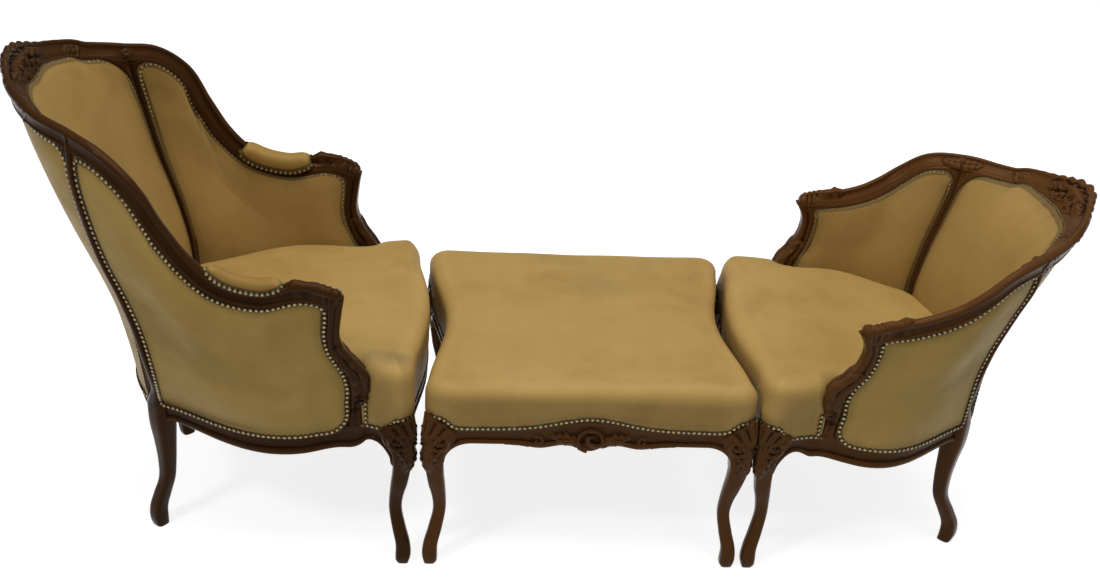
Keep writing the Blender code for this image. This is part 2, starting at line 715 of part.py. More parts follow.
class Bergere(Section):
    """An upholstered armchair with a closed back and sides."""

    def __init__(self, name, facing, gap, reach, half_width, crest, leaf, kick, seat,
                 shares):
        super().__init__(name, facing, STOOL_LENGTH / 2 + gap)
        self.reach = reach
        self.half_width = half_width
        self.rise = crest - SEAT_RAIL_TOP
        self.leaf = leaf
        self.kick = kick
        self.seat = seat
        top = [self.point(s) for s in shares["top"]]
        mirrored = [p * np.array((1, -1, 1)) for p in top[-2::-1]]
        self.top = Curve(top + mirrored)
        self.join = self.top.knots[shares["join"]]
        self.centre = self.top.knots[len(top) - 1]
        self.stile = Curve([self.point(s) for s in shares["stile"]])
        self.post = Curve([self.point(s) for s in shares["post"]])
        self.spine = Curve([self.point((e, 0.0, z)) for e, z in shares["spine"]])
        self.rail_front = [np.array((e * reach, y * KNEE_SPREAD / 2, SEAT_RAIL_TOP))
                           for e, y in shares["rail_front"]]
        self.rail_side = Curve([self.point((e, y, 0.0)) for e, y in shares["rail_side"]])
        back = [self.point((e, y, 0.0)) for e, y in shares["rail_back"]]
        mirrored = [p * np.array((1, -1, 1)) for p in back[-2::-1]]
        self.rail_back = Curve(back + mirrored)
        self.side_wall = patch(self.rail_side.share, lambda u: self.top.at(u * self.join),
                               self.post.share, self.stile.share)
        self.back_half = patch(lambda u: self.rail_back.share(u / 2), self.crest_line,
                               self.stile.share, self.spine.share)

    def point(self, share):
        """A section point from its shares of reach, half width and rise."""
        return np.array((share[0] * self.reach, share[1] * self.half_width,
                         SEAT_RAIL_TOP + share[2] * self.rise))

    def crest_line(self, u):
        """The crest from the back upright at 0 to its middle at 1."""
        return self.top.at(self.join + u * (self.centre - self.join))

    def back_wall(self, u, v):
        """The back between its uprights, u from 0 to 1."""
        if u <= 0.5:
            return self.back_half(2 * u, v)
        return self.back_half(2 - 2 * u, v) * np.array((1, -1, 1))

    def wall_grid(self, wall, cells, offset, grow=0.0):
        """Points over a wall, moved inwards by offset(u, v) along the level normal.

        The first and last columns are moved apart along the wall by grow.
        """
        columns = []
        nudge_share = 0.01
        for u in spread(cells[0] + 1):
            column = []
            along = WALL_MARGIN_SHARE + (1 - 2 * WALL_MARGIN_SHARE) * u
            for v in spread(cells[1] + 1):
                height = (1 - WALL_MARGIN_SHARE) * v
                here = wall(along, height)
                across = wall(along + nudge_share, height) - wall(along - nudge_share, height)
                upward = wall(along, height + nudge_share) - wall(along, height)
                normal = np.cross(across, upward)
                normal[2] = 0.0
                if u in (0.0, 1.0):
                    here = here + unit(across) * grow * (2 * u - 1)
                column.append(here + unit(normal) * offset(u, v))
            columns.append(column)
        return columns

    def pad(self, name, wall, cells, crown, side, grow=0.0, collection=PART):
        """A stuffed pad on the inner side of a wall."""
        def face(u, v):
            swell = (1 - abs(2 * u - 1) ** 3) * (1 - abs(2 * v - 1) ** 3)
            return PAD_EDGE + grow + crown * swell ** 0.7

        front = self.wall_grid(wall, cells, face, grow)
        back = self.wall_grid(wall, cells, lambda u, v: -PAD_BACK - grow, grow)
        for grid in (front, back):
            for column in grid:
                column[0][2] = SEAT_RAIL_TOP + SEAM - grow
        return slab(name, self.rings(front, side), self.rings(back, side), collection)

    def panel(self, name, wall, cells, side):
        """A thin leather-covered panel on the outer side of a wall."""
        def face(u, v):
            swell = (1 - (2 * u - 1) ** 2) * (1 - (2 * v - 1) ** 2)
            flare = PANEL_FOOT_FLARE * (1 - v) ** 3
            return -PANEL_FACE - PANEL_THICKNESS - PANEL_CROWN * swell - flare

        def inner(u, v):
            return face(u, v) + PANEL_THICKNESS

        front = self.wall_grid(wall, cells, inner)
        back = self.wall_grid(wall, cells, face)
        for grid in (front, back):
            for column in grid:
                column[0][2] = SEAT_RAIL_TOP + SEAM
        return slab(name, self.rings(front, side), self.rings(back, side))

    def top_frame(self, distance):
        """Centre, upward and inward directions of the top rail at a distance."""
        step = self.centre / 100
        here = self.top.at(distance)
        along = unit(self.top.at(distance + step) - self.top.at(distance - step))
        if distance <= self.join:
            below = self.side_wall(distance / self.join, 0.8)
        else:
            u = (distance - self.join) / (2 * (self.centre - self.join))
            below = self.back_wall(min(u, 1.0), 0.8)
        up = here - below
        up = unit(up - along * np.dot(up, along))
        return here, up, unit(np.cross(along, up)), along

    def top_rings(self, start, end, stations, grow=0.0):
        """Rings of the top rail between two distances, swelling at the crest's leaf."""
        rings = []
        half = TOP_RAIL_WIDTH / 2
        deep = TOP_RAIL_THICKNESS / 2
        for s in spread(stations):
            distance = start + (end - start) * s
            here, up, inward, along = self.top_frame(distance)
            off = 2 * (distance - self.centre) / CREST_LEAF_WIDTH
            leaf = self.leaf * math.exp(-off * off)
            rings.append(section(here, up, inward, (half + leaf, half + leaf / 3),
                                 (deep, deep), grow))
        return rings

    def arm_rail_rings(self, grow=0.0):
        """Rings of an arm rail from its rounded hand to the back upright."""
        rings = self.top_rings(0.0, self.join - SEAM / 2, ARM_RAIL_STATIONS, grow)
        here, up, inward, along = self.top_frame(0.0)
        half = TOP_RAIL_WIDTH / 2
        deep = TOP_RAIL_THICKNESS / 2
        hand = []
        for reach_share, size_share in ((1.0, 0.45), (0.72, 0.86)):
            centre = here - along * (HAND_LENGTH * reach_share + grow)
            hand.append(section(centre, up, inward, (half * size_share, half * size_share),
                                (deep * size_share, deep * size_share), grow))
        return hand + rings

    def whole_top_rings(self, grow):
        """Rings of both arm rails and the crest in one run, from hand to hand."""
        near = self.arm_rail_rings(grow)
        end = self.top.knots[-1] - self.join
        crest = self.top_rings(self.join, end, CREST_STATIONS, grow)[1:-1]
        far = [[p * np.array((1, -1, 1)) for p in ring] for ring in near[::-1]]
        return near + crest + far

    def arm_post_rings(self, grow=0.0):
        """Level rings of an arm post, from the seat rail into the arm rail."""
        rings = []
        for s, width in zip(spread(ARM_POST_STATIONS), ARM_POST_WIDTH_SHARES):
            centre = self.post.share(s)
            ahead = self.side_wall(0.08, s) - self.side_wall(0.0, s)
            ahead[2] = 0.0
            wide = unit(ahead)
            deep = np.array((wide[1], -wide[0], 0.0))
            half = ARM_POST_WIDTH * width / 2
            thick = ARM_POST_THICKNESS / 2
            rings.append(section(centre, wide, deep, (half, half), (thick, thick), grow))
        for p in rings[0]:
            p[2] = SEAT_RAIL_TOP + SEAM - grow
        return rings

    def rear_post_rings(self, grow=0.0):
        """Level rings of a rear leg and the back upright above it."""
        foot = self.stile.share(0.0)
        ahead = self.back_wall(0.08, 0.1) - self.side_wall(0.92, 0.1)
        ahead[2] = 0.0
        low_wide = unit(ahead)
        low_deep = np.array((low_wide[1], -low_wide[0], 0.0))
        rings = []
        for height, kick, inset, width in REAR_LEG_SHARES:
            half = REAR_BLOCK_WIDTH * width / 2
            centre = np.array((foot[0] + self.kick * kick, foot[1] - REAR_ANKLE_INSET * inset,
                               SEAT_RAIL_TOP * height))
            rings.append(section(centre, low_wide, low_deep, (half, half), (half, half), grow))
        for s in spread(STILE_STATIONS)[1:]:
            centre = self.stile.share(s)
            ahead = self.back_wall(0.05, s) - self.side_wall(0.95, s)
            ahead[2] = 0.0
            wide = unit(ahead)
            deep = np.array((wide[1], -wide[0], 0.0))
            half = STILE_WIDTH / 2
            thick = STILE_THICKNESS / 2
            rings.append(section(centre, wide, deep, (half, half), (thick, thick), grow))
        return rings

    def side_rail_line(self):
        """The side rail's plan from the front leg to the rear leg."""
        return Curve(self.rail_front + [self.rail_side.share(s) for s in spread(9)])

    def front_rail_line(self):
        """The bowed front rail's plan from one leg to the other."""
        half = (KNEE_SPREAD - KNEE_BLOCK_WIDTH) / 2
        depth = KNEE_BLOCK_WIDTH / 2

        def line(s):
            y = half * (2 * s - 1)
            bow = FRONT_RAIL_BOW * math.cos(math.pi * (s - 0.5)) ** 1.5
            return np.array((depth - bow, y, SEAT_RAIL_TOP))

        return line

    def seat_outline(self):
        """Plan outline of the seat, in four runs of equal cells from the front."""
        front_rail = self.front_rail_line()
        half = SEAT_RAIL_THICKNESS / 2
        radius = SEAT_CORNER_RADIUS
        corner = np.array((radius, KNEE_SPREAD / 2 - radius - SEAT_SKIRT_INSET))
        front = []
        for s in spread(17)[8:]:
            p = front_rail(s)
            if p[1] < corner[1]:
                front.append(np.array((min(p[0] - half, 0.3 * half), p[1])))
        turn = [corner + radius * np.array((-math.cos(a), math.sin(a)))
                for a in (0.15 * math.pi, 0.25 * math.pi)]
        front += turn
        side = [turn[-1], corner + radius * np.array((-math.cos(0.4 * math.pi),
                                                      math.sin(0.4 * math.pi)))]
        line = self.side_rail_line()
        post = self.post.share(0.0)[0]
        for s in spread(40):
            p = line.share(s)
            ahead = line.share(min(s + 0.02, 1.0)) - line.share(max(s - 0.02, 0.0))
            out = unit(np.array((-ahead[1], ahead[0])))
            blend = min(max((p[0] - post) / (ARM_POST_WIDTH / 4) + 0.5, 0.0), 1.0)
            move = half * (1 - blend) - SEAT_SKIRT_INSET
            if p[0] > corner[0] + radius / 2:
                side.append(p[:2] + out * move)
        rear = []
        for s in spread(21)[1:11]:
            p = self.rail_back.share(s)
            rear.append(p[:2] - np.array((SEAT_SKIRT_INSET, 0.0)))
        flip = np.array((1, -1))
        cells = SEAT_CELLS
        front_run = resample([p * flip for p in front[::-1]] + front[1:], cells)
        side_run = resample(side, cells)
        back_run = resample([side[-1]] + rear + [p * flip for p in rear[-2::-1]]
                            + [side[-1] * flip], cells)
        other = resample([p * flip for p in side[::-1]], cells)
        return np.vstack((front_run[:-1], side_run[:-1], back_run[:-1], other[:-1]))

    def seat_height(self, p):
        """Height of the seat's edge above the rails at a plan point."""
        places = (0.0, self.post.share(0.0)[0], self.rail_back.share(0.5)[0])
        return float(np.interp(p[0], places, self.seat))

    def build(self):
        """All the pieces of the chair."""
        name = self.name
        knee = KNEE_SPREAD / 2
        arch = RAIL_ARCH_RISE
        side_line = self.side_rail_line()
        cutters = {}

        def cutter(key, rings, side, mirrored_from=None):
            solid = loft(f"{name}_{key}_{side}_cutter", self.rings(rings, side), CUTTERS,
                         mirrored_from)
            cutters[(key, side)] = guide(solid, self.empty)

        for side in (1, -1):
            cutter("front_leg", leg_rings(0.0, knee, 1, SEAM), side)
            cutter("rear_post", self.rear_post_rings(SEAM), side)
            cutter("arm_post", self.arm_post_rings(SEAM), side)
            pad = self.pad(f"{name}_side_pad_{side}_cutter", self.side_wall, SIDE_WALL_CELLS,
                           SIDE_PAD_CROWN, side, SEAM, CUTTERS)
            cutters[("side_pad", side)] = guide(pad, self.empty)
        whole_top = self.whole_top_rings(SEAM)
        cutter("top_rail", whole_top, 1, len(whole_top) // 2)
        top = cutters[("top_rail", 1)]
        back = self.pad(f"{name}_back_pad_cutter", self.back_wall, BACK_WALL_CELLS,
                        BACK_PAD_CROWN, 1, SEAM, CUTTERS)
        cutters[("back_pad", 1)] = guide(back, self.empty)

        crest = loft(f"{name}_crest_rail",
                     self.rings(self.top_rings(self.join + SEAM / 2,
                                               self.top.knots[-1] - self.join - SEAM / 2,
                                               CREST_STATIONS)),
                     mirrored_from=CREST_STATIONS // 2)
        finish(crest, WOOD, self.empty)

        for side in (1, -1):
            hand = self.hand(side)
            leg = loft(f"{name}_front_leg_{hand}", self.rings(leg_rings(0.0, knee, 1), side))
            finish(leg, WOOD, self.empty)
            post = loft(f"{name}_rear_post_{hand}", self.rings(self.rear_post_rings(), side))
            finish(post, WOOD, self.empty)
            cut(post, [top])
            arm_post = loft(f"{name}_arm_post_{hand}", self.rings(self.arm_post_rings(), side))
            finish(arm_post, WOOD, self.empty)
            cut(arm_post, [top])
            arm = loft(f"{name}_arm_rail_{hand}", self.rings(self.arm_rail_rings(), side))
            finish(arm, WOOD, self.empty)
            rail = loft(f"{name}_side_rail_{hand}",
                        self.rings(rail_rings(side_line.share, SIDE_RAIL_STATIONS,
                                               side_scallop), side))
            finish(rail, WOOD, self.empty)
            cut(rail, [cutters[("front_leg", side)], cutters[("rear_post", side)]])

            pad = self.pad(f"{name}_inside_side_pad_{hand}", self.side_wall, SIDE_WALL_CELLS,
                           SIDE_PAD_CROWN, side)
            finish(pad, HIDE, self.empty)
            around = [cutters[("arm_post", side)], cutters[("rear_post", side)], top]
            cut(pad, around)
            panel = self.panel(f"{name}_outside_side_panel_{hand}", self.side_wall,
                               SIDE_WALL_CELLS, side)
            finish(panel, HIDE, self.empty)
            cut(panel, around)

        posts = [cutters[("rear_post", 1)], cutters[("rear_post", -1)]]
        legs = [cutters[("front_leg", 1)], cutters[("front_leg", -1)]]
        arm_posts = [cutters[("arm_post", 1)], cutters[("arm_post", -1)]]
        pads = [cutters[("side_pad", 1)], cutters[("side_pad", -1)], cutters[("back_pad", 1)]]

        front_rail = loft(f"{name}_front_rail",
                          self.rings(rail_rings(self.front_rail_line(), FRONT_RAIL_STATIONS,
                                                scallop)))
        finish(front_rail, WOOD, self.empty)
        cut(front_rail, legs)
        back_rail = loft(f"{name}_back_rail",
                         self.rings(rail_rings(self.rail_back.share, BACK_RAIL_STATIONS,
                                               lambda s: arch * math.sin(math.pi * s))))
        finish(back_rail, WOOD, self.empty)
        cut(back_rail, posts)

        pad = self.pad(f"{name}_inside_back_pad", self.back_wall, BACK_WALL_CELLS,
                       BACK_PAD_CROWN, 1)
        finish(pad, HIDE, self.empty)
        cut(pad, posts + pads[:2] + [top])
        panel = self.panel(f"{name}_outside_back_panel", self.back_wall, BACK_WALL_CELLS, 1)
        finish(panel, HIDE, self.empty)
        cut(panel, posts + [top])

        outline = self.seat_outline()
        build_seat(self, outline, self.seat_height, SEAT_CROWN,
                   legs + posts + arm_posts, pads)


def build_seat(section_axes, outline, height, crown, frame_cutters, pad_cutters):
    """A seat's leather cover, its stuffing and the webbing under it."""
    name = section_axes.name
    cover = seat_shape(f"{name}_seat_cover", section_axes, outline, height, crown)
    open_foot(cover)
    skin = cover.modifiers.new("thickness", "SOLIDIFY")
    skin.thickness = LEATHER
    skin.offset = -1.0
    skin.use_even_offset = False
    finish(cover, HIDE, section_axes.empty)
    settle(cover)
    cut(cover, frame_cutters + pad_cutters)
    stuffing = seat_shape(f"{name}_seat_stuffing", section_axes, outline, height, crown)
    shrink(stuffing, LEATHER + SEAM, SEAT_RAIL_TOP + WEBBING_THICKNESS + 2 * SEAM)
    finish(stuffing, HAIR, section_axes.empty)
    cut(stuffing, frame_cutters + pad_cutters)
    straps = webbing_grid(f"{name}_seat_webbing", section_axes, outline)
    finish(straps, STRAP, section_axes.empty)
    settle(straps)
    cut(straps, frame_cutters + pad_cutters)


def arm_pad(chair, side):
    """The stuffed pad nailed on top of an arm rail."""
    start = ARM_PAD_SHARES[0] * chair.join
    end = ARM_PAD_SHARES[1] * chair.join
    rings = []
    for s in spread(ARM_PAD_STATIONS):
        distance = start + (end - start) * s
        here, up, inward, along = chair.top_frame(distance)
        swell = max(1 - abs(2 * s - 1) ** 3, 0.0) ** 0.5
        half = ARM_PAD_WIDTH / 2 * (0.45 + 0.55 * swell)
        rise = TOP_RAIL_WIDTH / 2 + ARM_PAD_HEIGHT * (0.25 + 0.75 * swell)
        rings.append(section(here, up, inward, (rise, 0.0), (half, half)))
    pad = loft(f"{chair.name}_arm_pad_{chair.hand(side)}", chair.rings(rings, side))
    return pad


class Stool(Section):
    """The low stool between the bergeres."""

    def __init__(self):
        super().__init__("stool", 1, 0.0)

    def long_rail_line(self, s):
        """Front rail's plan, from one leg to the other, on the +Y side."""
        half = (STOOL_LENGTH - KNEE_BLOCK_WIDTH) / 2
        y = (STOOL_WIDTH - KNEE_BLOCK_WIDTH) / 2 + 0.2 * SEAT_RAIL_THICKNESS
        return np.array((half * (2 * s - 1), y, SEAT_RAIL_TOP))

    def end_rail_line(self, s):
        """End rail's plan, hollow towards the middle, on the +X side."""
        half = (STOOL_WIDTH - KNEE_BLOCK_WIDTH) / 2
        x = (STOOL_LENGTH - KNEE_BLOCK_WIDTH) / 2 + 0.2 * SEAT_RAIL_THICKNESS
        hollow = STOOL_END_HOLLOW * math.cos(math.pi * (s - 0.5)) ** 2
        return np.array((x - hollow, half * (1 - 2 * s), SEAT_RAIL_TOP))

    def seat_outline(self):
        """Plan outline of the seat in four runs, from the -Y side round by +X."""
        half = SEAT_RAIL_THICKNESS / 2
        radius = SEAT_CORNER_RADIUS
        corner = np.array((STOOL_LENGTH / 2 - radius, STOOL_WIDTH / 2 - radius))
        corner -= SEAT_SKIRT_INSET
        quarter = [np.array((corner[0] + radius * math.sin(a), -corner[1] - radius * math.cos(a)))
                   for a in (0.08 * math.pi, 0.25 * math.pi, 0.42 * math.pi)]
        long_side = [np.array((0.0, -(self.long_rail_line(0.5)[1] + half)))]
        long_side += quarter[:2]
        end_side = [quarter[1], quarter[2]]
        for s in spread(21)[::-1]:
            p = self.end_rail_line(s)
            if -corner[1] < p[1] <= 0:
                end_side.append(np.array((p[0] + half, p[1])))
        flip_x = np.array((-1, 1))
        flip_y = np.array((1, -1))
        cells = SEAT_CELLS
        low = resample([p * flip_x for p in long_side[::-1]] + long_side[1:], cells)
        right = resample(end_side + [p * flip_y for p in end_side[-2::-1]], cells)
        high = resample([p * flip_y for p in long_side[::-1]]
                        + [p * flip_y * flip_x for p in long_side[1:]], cells)
        left = resample([p * flip_x * flip_y for p in end_side]
                        + [p * flip_x for p in end_side[-2::-1]], cells)
        return np.vstack((low[:-1], right[:-1], high[:-1], left[:-1]))

    def build(self):
        """All the pieces of the stool."""
        knees = (STOOL_LENGTH / 2, STOOL_WIDTH / 2)
        cutters = []
        for x_side, across in ((-1, "left"), (1, "right")):
            for y_side, along in ((-1, "front"), (1, "back")):
                def placed(grow):
                    rings = leg_rings(knees[0], knees[1], -1, grow)
                    return [[(p[0] * x_side, p[1] * y_side, p[2]) for p in ring]
                            for ring in rings]

                leg = loft(f"stool_{along}_{across}_leg", placed(0.0))
                finish(leg, WOOD, self.empty)
                grown = loft(f"stool_{along}_{across}_cutter", placed(SEAM), CUTTERS)
                cutters.append(guide(grown, self.empty))
        rail_cutters = []
        for y_side, along in ((-1, "front"), (1, "back")):
            rings = rail_rings(self.long_rail_line, LONG_RAIL_STATIONS, scallop, shell_rise)
            rail = loft(f"stool_{along}_rail", self.rings(rings, y_side))
            finish(rail, WOOD, self.empty)
            cut(rail, cutters)
            rings = rail_rings(self.long_rail_line, LONG_RAIL_STATIONS, scallop, shell_rise,
                               SEAM)
            grown = loft(f"stool_{along}_rail_cutter", self.rings(rings, y_side), CUTTERS)
            rail_cutters.append(guide(grown, self.empty))
        for x_side, across in ((-1, "left"), (1, "right")):
            rings = rail_rings(self.end_rail_line, FRONT_RAIL_STATIONS, scallop)
            turned = [[(p[0] * x_side, p[1], p[2]) for p in ring] for ring in rings]
            rail = loft(f"stool_{across}_rail", turned)
            finish(rail, WOOD, self.empty)
            cut(rail, cutters)
        build_seat(self, self.seat_outline(), lambda p: STOOL_SEAT_EDGE, STOOL_SEAT_CROWN,
                   cutters, rail_cutters)


WOOD = new_material("walnut", WALNUT, 0.35)
HIDE = new_material("leather", LEATHER_TAN, 0.5)
HAIR = new_material("stuffing", HORSEHAIR, 0.9)
STRAP = new_material("webbing", JUTE, 0.9)

stool = Stool()
stool.build()

large = Bergere("large", -1, LARGE_GAP, LARGE_BACK_REACH, LARGE_ARM_HALF_WIDTH,
                LARGE_CREST_HEIGHT, LARGE_CREST_LEAF, LARGE_REAR_LEG_KICK,
                (LARGE_SEAT_FRONT_HEIGHT, LARGE_SEAT_POST_HEIGHT, LARGE_SEAT_REAR_HEIGHT),
                {"top": LARGE_TOP_SHARES, "join": 8, "stile": LARGE_STILE_SHARES,
                 "post": LARGE_ARM_POST_SHARES, "spine": LARGE_SPINE_SHARES,
                 "rail_front": LARGE_RAIL_FRONT_SHARES, "rail_side": LARGE_RAIL_SIDE_SHARES,
                 "rail_back": LARGE_RAIL_BACK_SHARES})
large.build()
for arm_side in (1, -1):
    arm_cushion = arm_pad(large, arm_side)
    finish(arm_cushion, HIDE, large.empty)
    cut(arm_cushion, [bpy.data.objects["large_top_rail_1_cutter"]])

small = Bergere("small", 1, SMALL_GAP, SMALL_BACK_REACH, SMALL_ARM_HALF_WIDTH,
                SMALL_CREST_HEIGHT, SMALL_CREST_LEAF, SMALL_REAR_LEG_KICK,
                (SMALL_SEAT_FRONT_HEIGHT, SMALL_SEAT_POST_HEIGHT, SMALL_SEAT_REAR_HEIGHT),
                {"top": SMALL_TOP_SHARES, "join": 7, "stile": SMALL_STILE_SHARES,
                 "post": SMALL_ARM_POST_SHARES, "spine": SMALL_SPINE_SHARES,
                 "rail_front": SMALL_RAIL_FRONT_SHARES, "rail_side": SMALL_RAIL_SIDE_SHARES,
                 "rail_back": SMALL_RAIL_BACK_SHARES})
small.build()


def centre_on_floor():
    """Move the three sections together so that the object's middle is at the origin."""
    bpy.context.view_layer.update()
    reach = [(piece.matrix_world @ v.co).x for piece in PART.objects if piece.type == "MESH"
             for v in piece.data.vertices]
    middle = (min(reach) + max(reach)) / 2
    for section_axes in (stool, large, small):
        section_axes.empty.location.x -= middle
    bpy.context.view_layer.update()


centre_on_floor()
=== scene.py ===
"""Looks of a duchesse brisee: carved walnut, nailed leather, and the photograph's view.

The curves of the frames are those of the CAD model. Each section is drawn in its own
axes: e runs back from the front knees, y is across and z is up.
"""
import math

import bmesh
import bpy
import numpy as np
from mathutils import Matrix, Vector


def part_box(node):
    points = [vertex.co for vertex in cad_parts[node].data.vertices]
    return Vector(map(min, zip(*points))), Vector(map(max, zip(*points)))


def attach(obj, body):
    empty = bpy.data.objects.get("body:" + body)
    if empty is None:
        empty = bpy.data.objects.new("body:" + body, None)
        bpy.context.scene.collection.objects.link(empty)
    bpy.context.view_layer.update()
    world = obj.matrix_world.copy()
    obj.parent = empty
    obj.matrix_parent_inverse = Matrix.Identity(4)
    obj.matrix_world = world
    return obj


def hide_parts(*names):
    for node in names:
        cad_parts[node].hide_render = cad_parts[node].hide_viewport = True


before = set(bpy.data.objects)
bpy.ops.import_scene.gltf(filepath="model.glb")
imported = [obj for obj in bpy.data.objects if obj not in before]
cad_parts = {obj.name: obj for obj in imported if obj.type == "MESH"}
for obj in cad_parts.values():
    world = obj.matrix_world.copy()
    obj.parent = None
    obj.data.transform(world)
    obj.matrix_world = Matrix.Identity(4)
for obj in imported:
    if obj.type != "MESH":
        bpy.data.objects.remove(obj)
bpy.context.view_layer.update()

# Sizes shared with the CAD model
SEAT_RAIL_TOP = 0.345
SEAT_RAIL_HEIGHT = 0.050
SEAT_RAIL_THICKNESS = 0.036
RAIL_ARCH_RISE = 0.015
SIDE_RAIL_SAG = 0.015
SIDE_RAIL_DROP = 0.006
KNEE_BLOCK_WIDTH = 0.066
KNEE_LEAF_HEIGHT = 0.030
LEG_SWING = 0.025
REAR_BLOCK_WIDTH = 0.050
REAR_ANKLE_INSET = 0.005
STILE_THICKNESS = 0.034
ARM_POST_WIDTH = 0.058
ARM_POST_THICKNESS = 0.036
TOP_RAIL_WIDTH = 0.045
TOP_RAIL_THICKNESS = 0.038
HAND_LENGTH = 0.016
CREST_LEAF_WIDTH = 0.136
PAD_EDGE = 0.0145
PAD_BACK = 0.0035
PANEL_FACE = 0.007
PANEL_THICKNESS = 0.004
PANEL_CROWN = 0.007
SIDE_PAD_CROWN = 0.024
BACK_PAD_CROWN = 0.034
SEAT_EDGE_BULGE = 0.005
SEAT_EDGE_ROUNDING = 0.036
SEAT_CORNER_RADIUS = 0.044
SEAT_SKIRT_INSET = 0.002
STOOL_LENGTH = 0.694
STOOL_WIDTH = 0.632
STOOL_END_HOLLOW = 0.038
STOOL_SEAT_EDGE = 0.115
STOOL_SEAT_CROWN = 0.014
STOOL_SHELL_RISE = 0.0255
STOOL_SHELL_WIDTH = 0.190
KNEE_SPREAD = 0.632
FRONT_RAIL_BOW = 0.036
SEAT_CROWN = 0.012
LARGE_BACK_REACH = 0.791
LARGE_ARM_HALF_WIDTH = 0.303
LARGE_CREST_HEIGHT = 0.983
LARGE_REAR_LEG_KICK = 0.025
LARGE_SEAT_HEIGHTS = (0.143, 0.152, 0.104)
SMALL_BACK_REACH = 0.697
SMALL_ARM_HALF_WIDTH = 0.303
SMALL_CREST_HEIGHT = 0.783
SMALL_REAR_LEG_KICK = 0.040
SMALL_SEAT_HEIGHTS = (0.128, 0.132, 0.084)
ARM_PAD_WIDTH = 0.046
ARM_PAD_HEIGHT = 0.024
ARM_PAD_SHARES = (0.148, 0.43)

# Top rail from the hand to the middle of the crest, as shares of the back reach, of the
# half width at the arms, and of the crest's height above the seat rails
LARGE_TOP_SHARES = (
    (0.207, 0.977, 0.478), (0.271, 0.987, 0.500), (0.391, 0.993, 0.474),
    (0.492, 0.993, 0.507), (0.570, 0.997, 0.594), (0.631, 1.003, 0.713),
    (0.684, 0.980, 0.837), (0.745, 0.904, 0.901), (0.814, 0.776, 0.926),
    (0.906, 0.604, 0.957), (0.976, 0.347, 0.984), (1.000, 0.000, 1.000))
SMALL_TOP_SHARES = (
    (0.276, 1.010, 0.596), (0.331, 1.003, 0.611), (0.407, 0.993, 0.631),
    (0.478, 0.993, 0.667), (0.539, 1.000, 0.719), (0.598, 0.990, 0.793),
    (0.661, 0.944, 0.872), (0.764, 0.805, 0.915), (0.850, 0.627, 0.928),
    (0.925, 0.422, 0.953), (0.976, 0.185, 0.982), (1.000, 0.000, 1.000))

# Back upright, arm post, middle of the back and seat rails, in the same shares
LARGE_STILE_SHARES = (
    (0.675, 0.601, 0.000), (0.676, 0.776, 0.163), (0.698, 0.815, 0.318),
    (0.726, 0.832, 0.442), (0.755, 0.851, 0.550), (0.786, 0.865, 0.705),
    (0.806, 0.842, 0.829), (0.814, 0.776, 0.926))
SMALL_STILE_SHARES = (
    (0.668, 0.660, 0.000), (0.670, 0.710, 0.191), (0.692, 0.733, 0.416),
    (0.727, 0.759, 0.618), (0.758, 0.792, 0.798), (0.764, 0.805, 0.915))
LARGE_ARM_POST_SHARES = (
    (0.163, 0.878, 0.000), (0.161, 0.891, 0.085), (0.155, 0.908, 0.147),
    (0.163, 0.921, 0.194), (0.185, 0.937, 0.240), (0.206, 0.954, 0.287),
    (0.215, 0.964, 0.333), (0.212, 0.974, 0.405), (0.207, 0.977, 0.478))
SMALL_ARM_POST_SHARES = (
    (0.226, 0.911, 0.000), (0.233, 0.924, 0.124), (0.228, 0.941, 0.213),
    (0.245, 0.957, 0.292), (0.270, 0.974, 0.348), (0.291, 0.990, 0.438),
    (0.294, 1.003, 0.528), (0.276, 1.010, 0.596))
ARM_POST_WIDTH_SHARES = (0.64, 0.66, 0.86, 1.00, 0.98, 0.80, 0.64, 0.62, 0.66, 0.74)
LARGE_SPINE_SHARES = (
    (0.748, 0.000), (0.752, 0.085), (0.782, 0.287), (0.852, 0.535), (0.930, 0.775),
    (1.000, 1.000))
SMALL_SPINE_SHARES = (
    (0.764, 0.000), (0.778, 0.169), (0.812, 0.416), (0.880, 0.708), (0.946, 0.899),
    (1.000, 1.000))
LARGE_RAIL_FRONT_SHARES = ((0.037, 0.9176), (0.094, 0.8476), (0.131, 0.8198))
SMALL_RAIL_FRONT_SHARES = ((0.042, 0.9243), (0.113, 0.8793), (0.170, 0.8543))
LARGE_RAIL_SIDE_SHARES = (
    (0.163, 0.878), (0.239, 0.917), (0.302, 0.954), (0.365, 0.947), (0.429, 0.904),
    (0.492, 0.835), (0.555, 0.749), (0.618, 0.660), (0.675, 0.601))
SMALL_RAIL_SIDE_SHARES = (
    (0.226, 0.911), (0.283, 0.950), (0.354, 0.985), (0.410, 0.975), (0.467, 0.930),
    (0.530, 0.850), (0.594, 0.759), (0.668, 0.660))
LARGE_RAIL_BACK_SHARES = ((0.675, 0.601), (0.726, 0.330), (0.748, 0.000))
SMALL_RAIL_BACK_SHARES = ((0.668, 0.660), (0.728, 0.363), (0.764, 0.000))

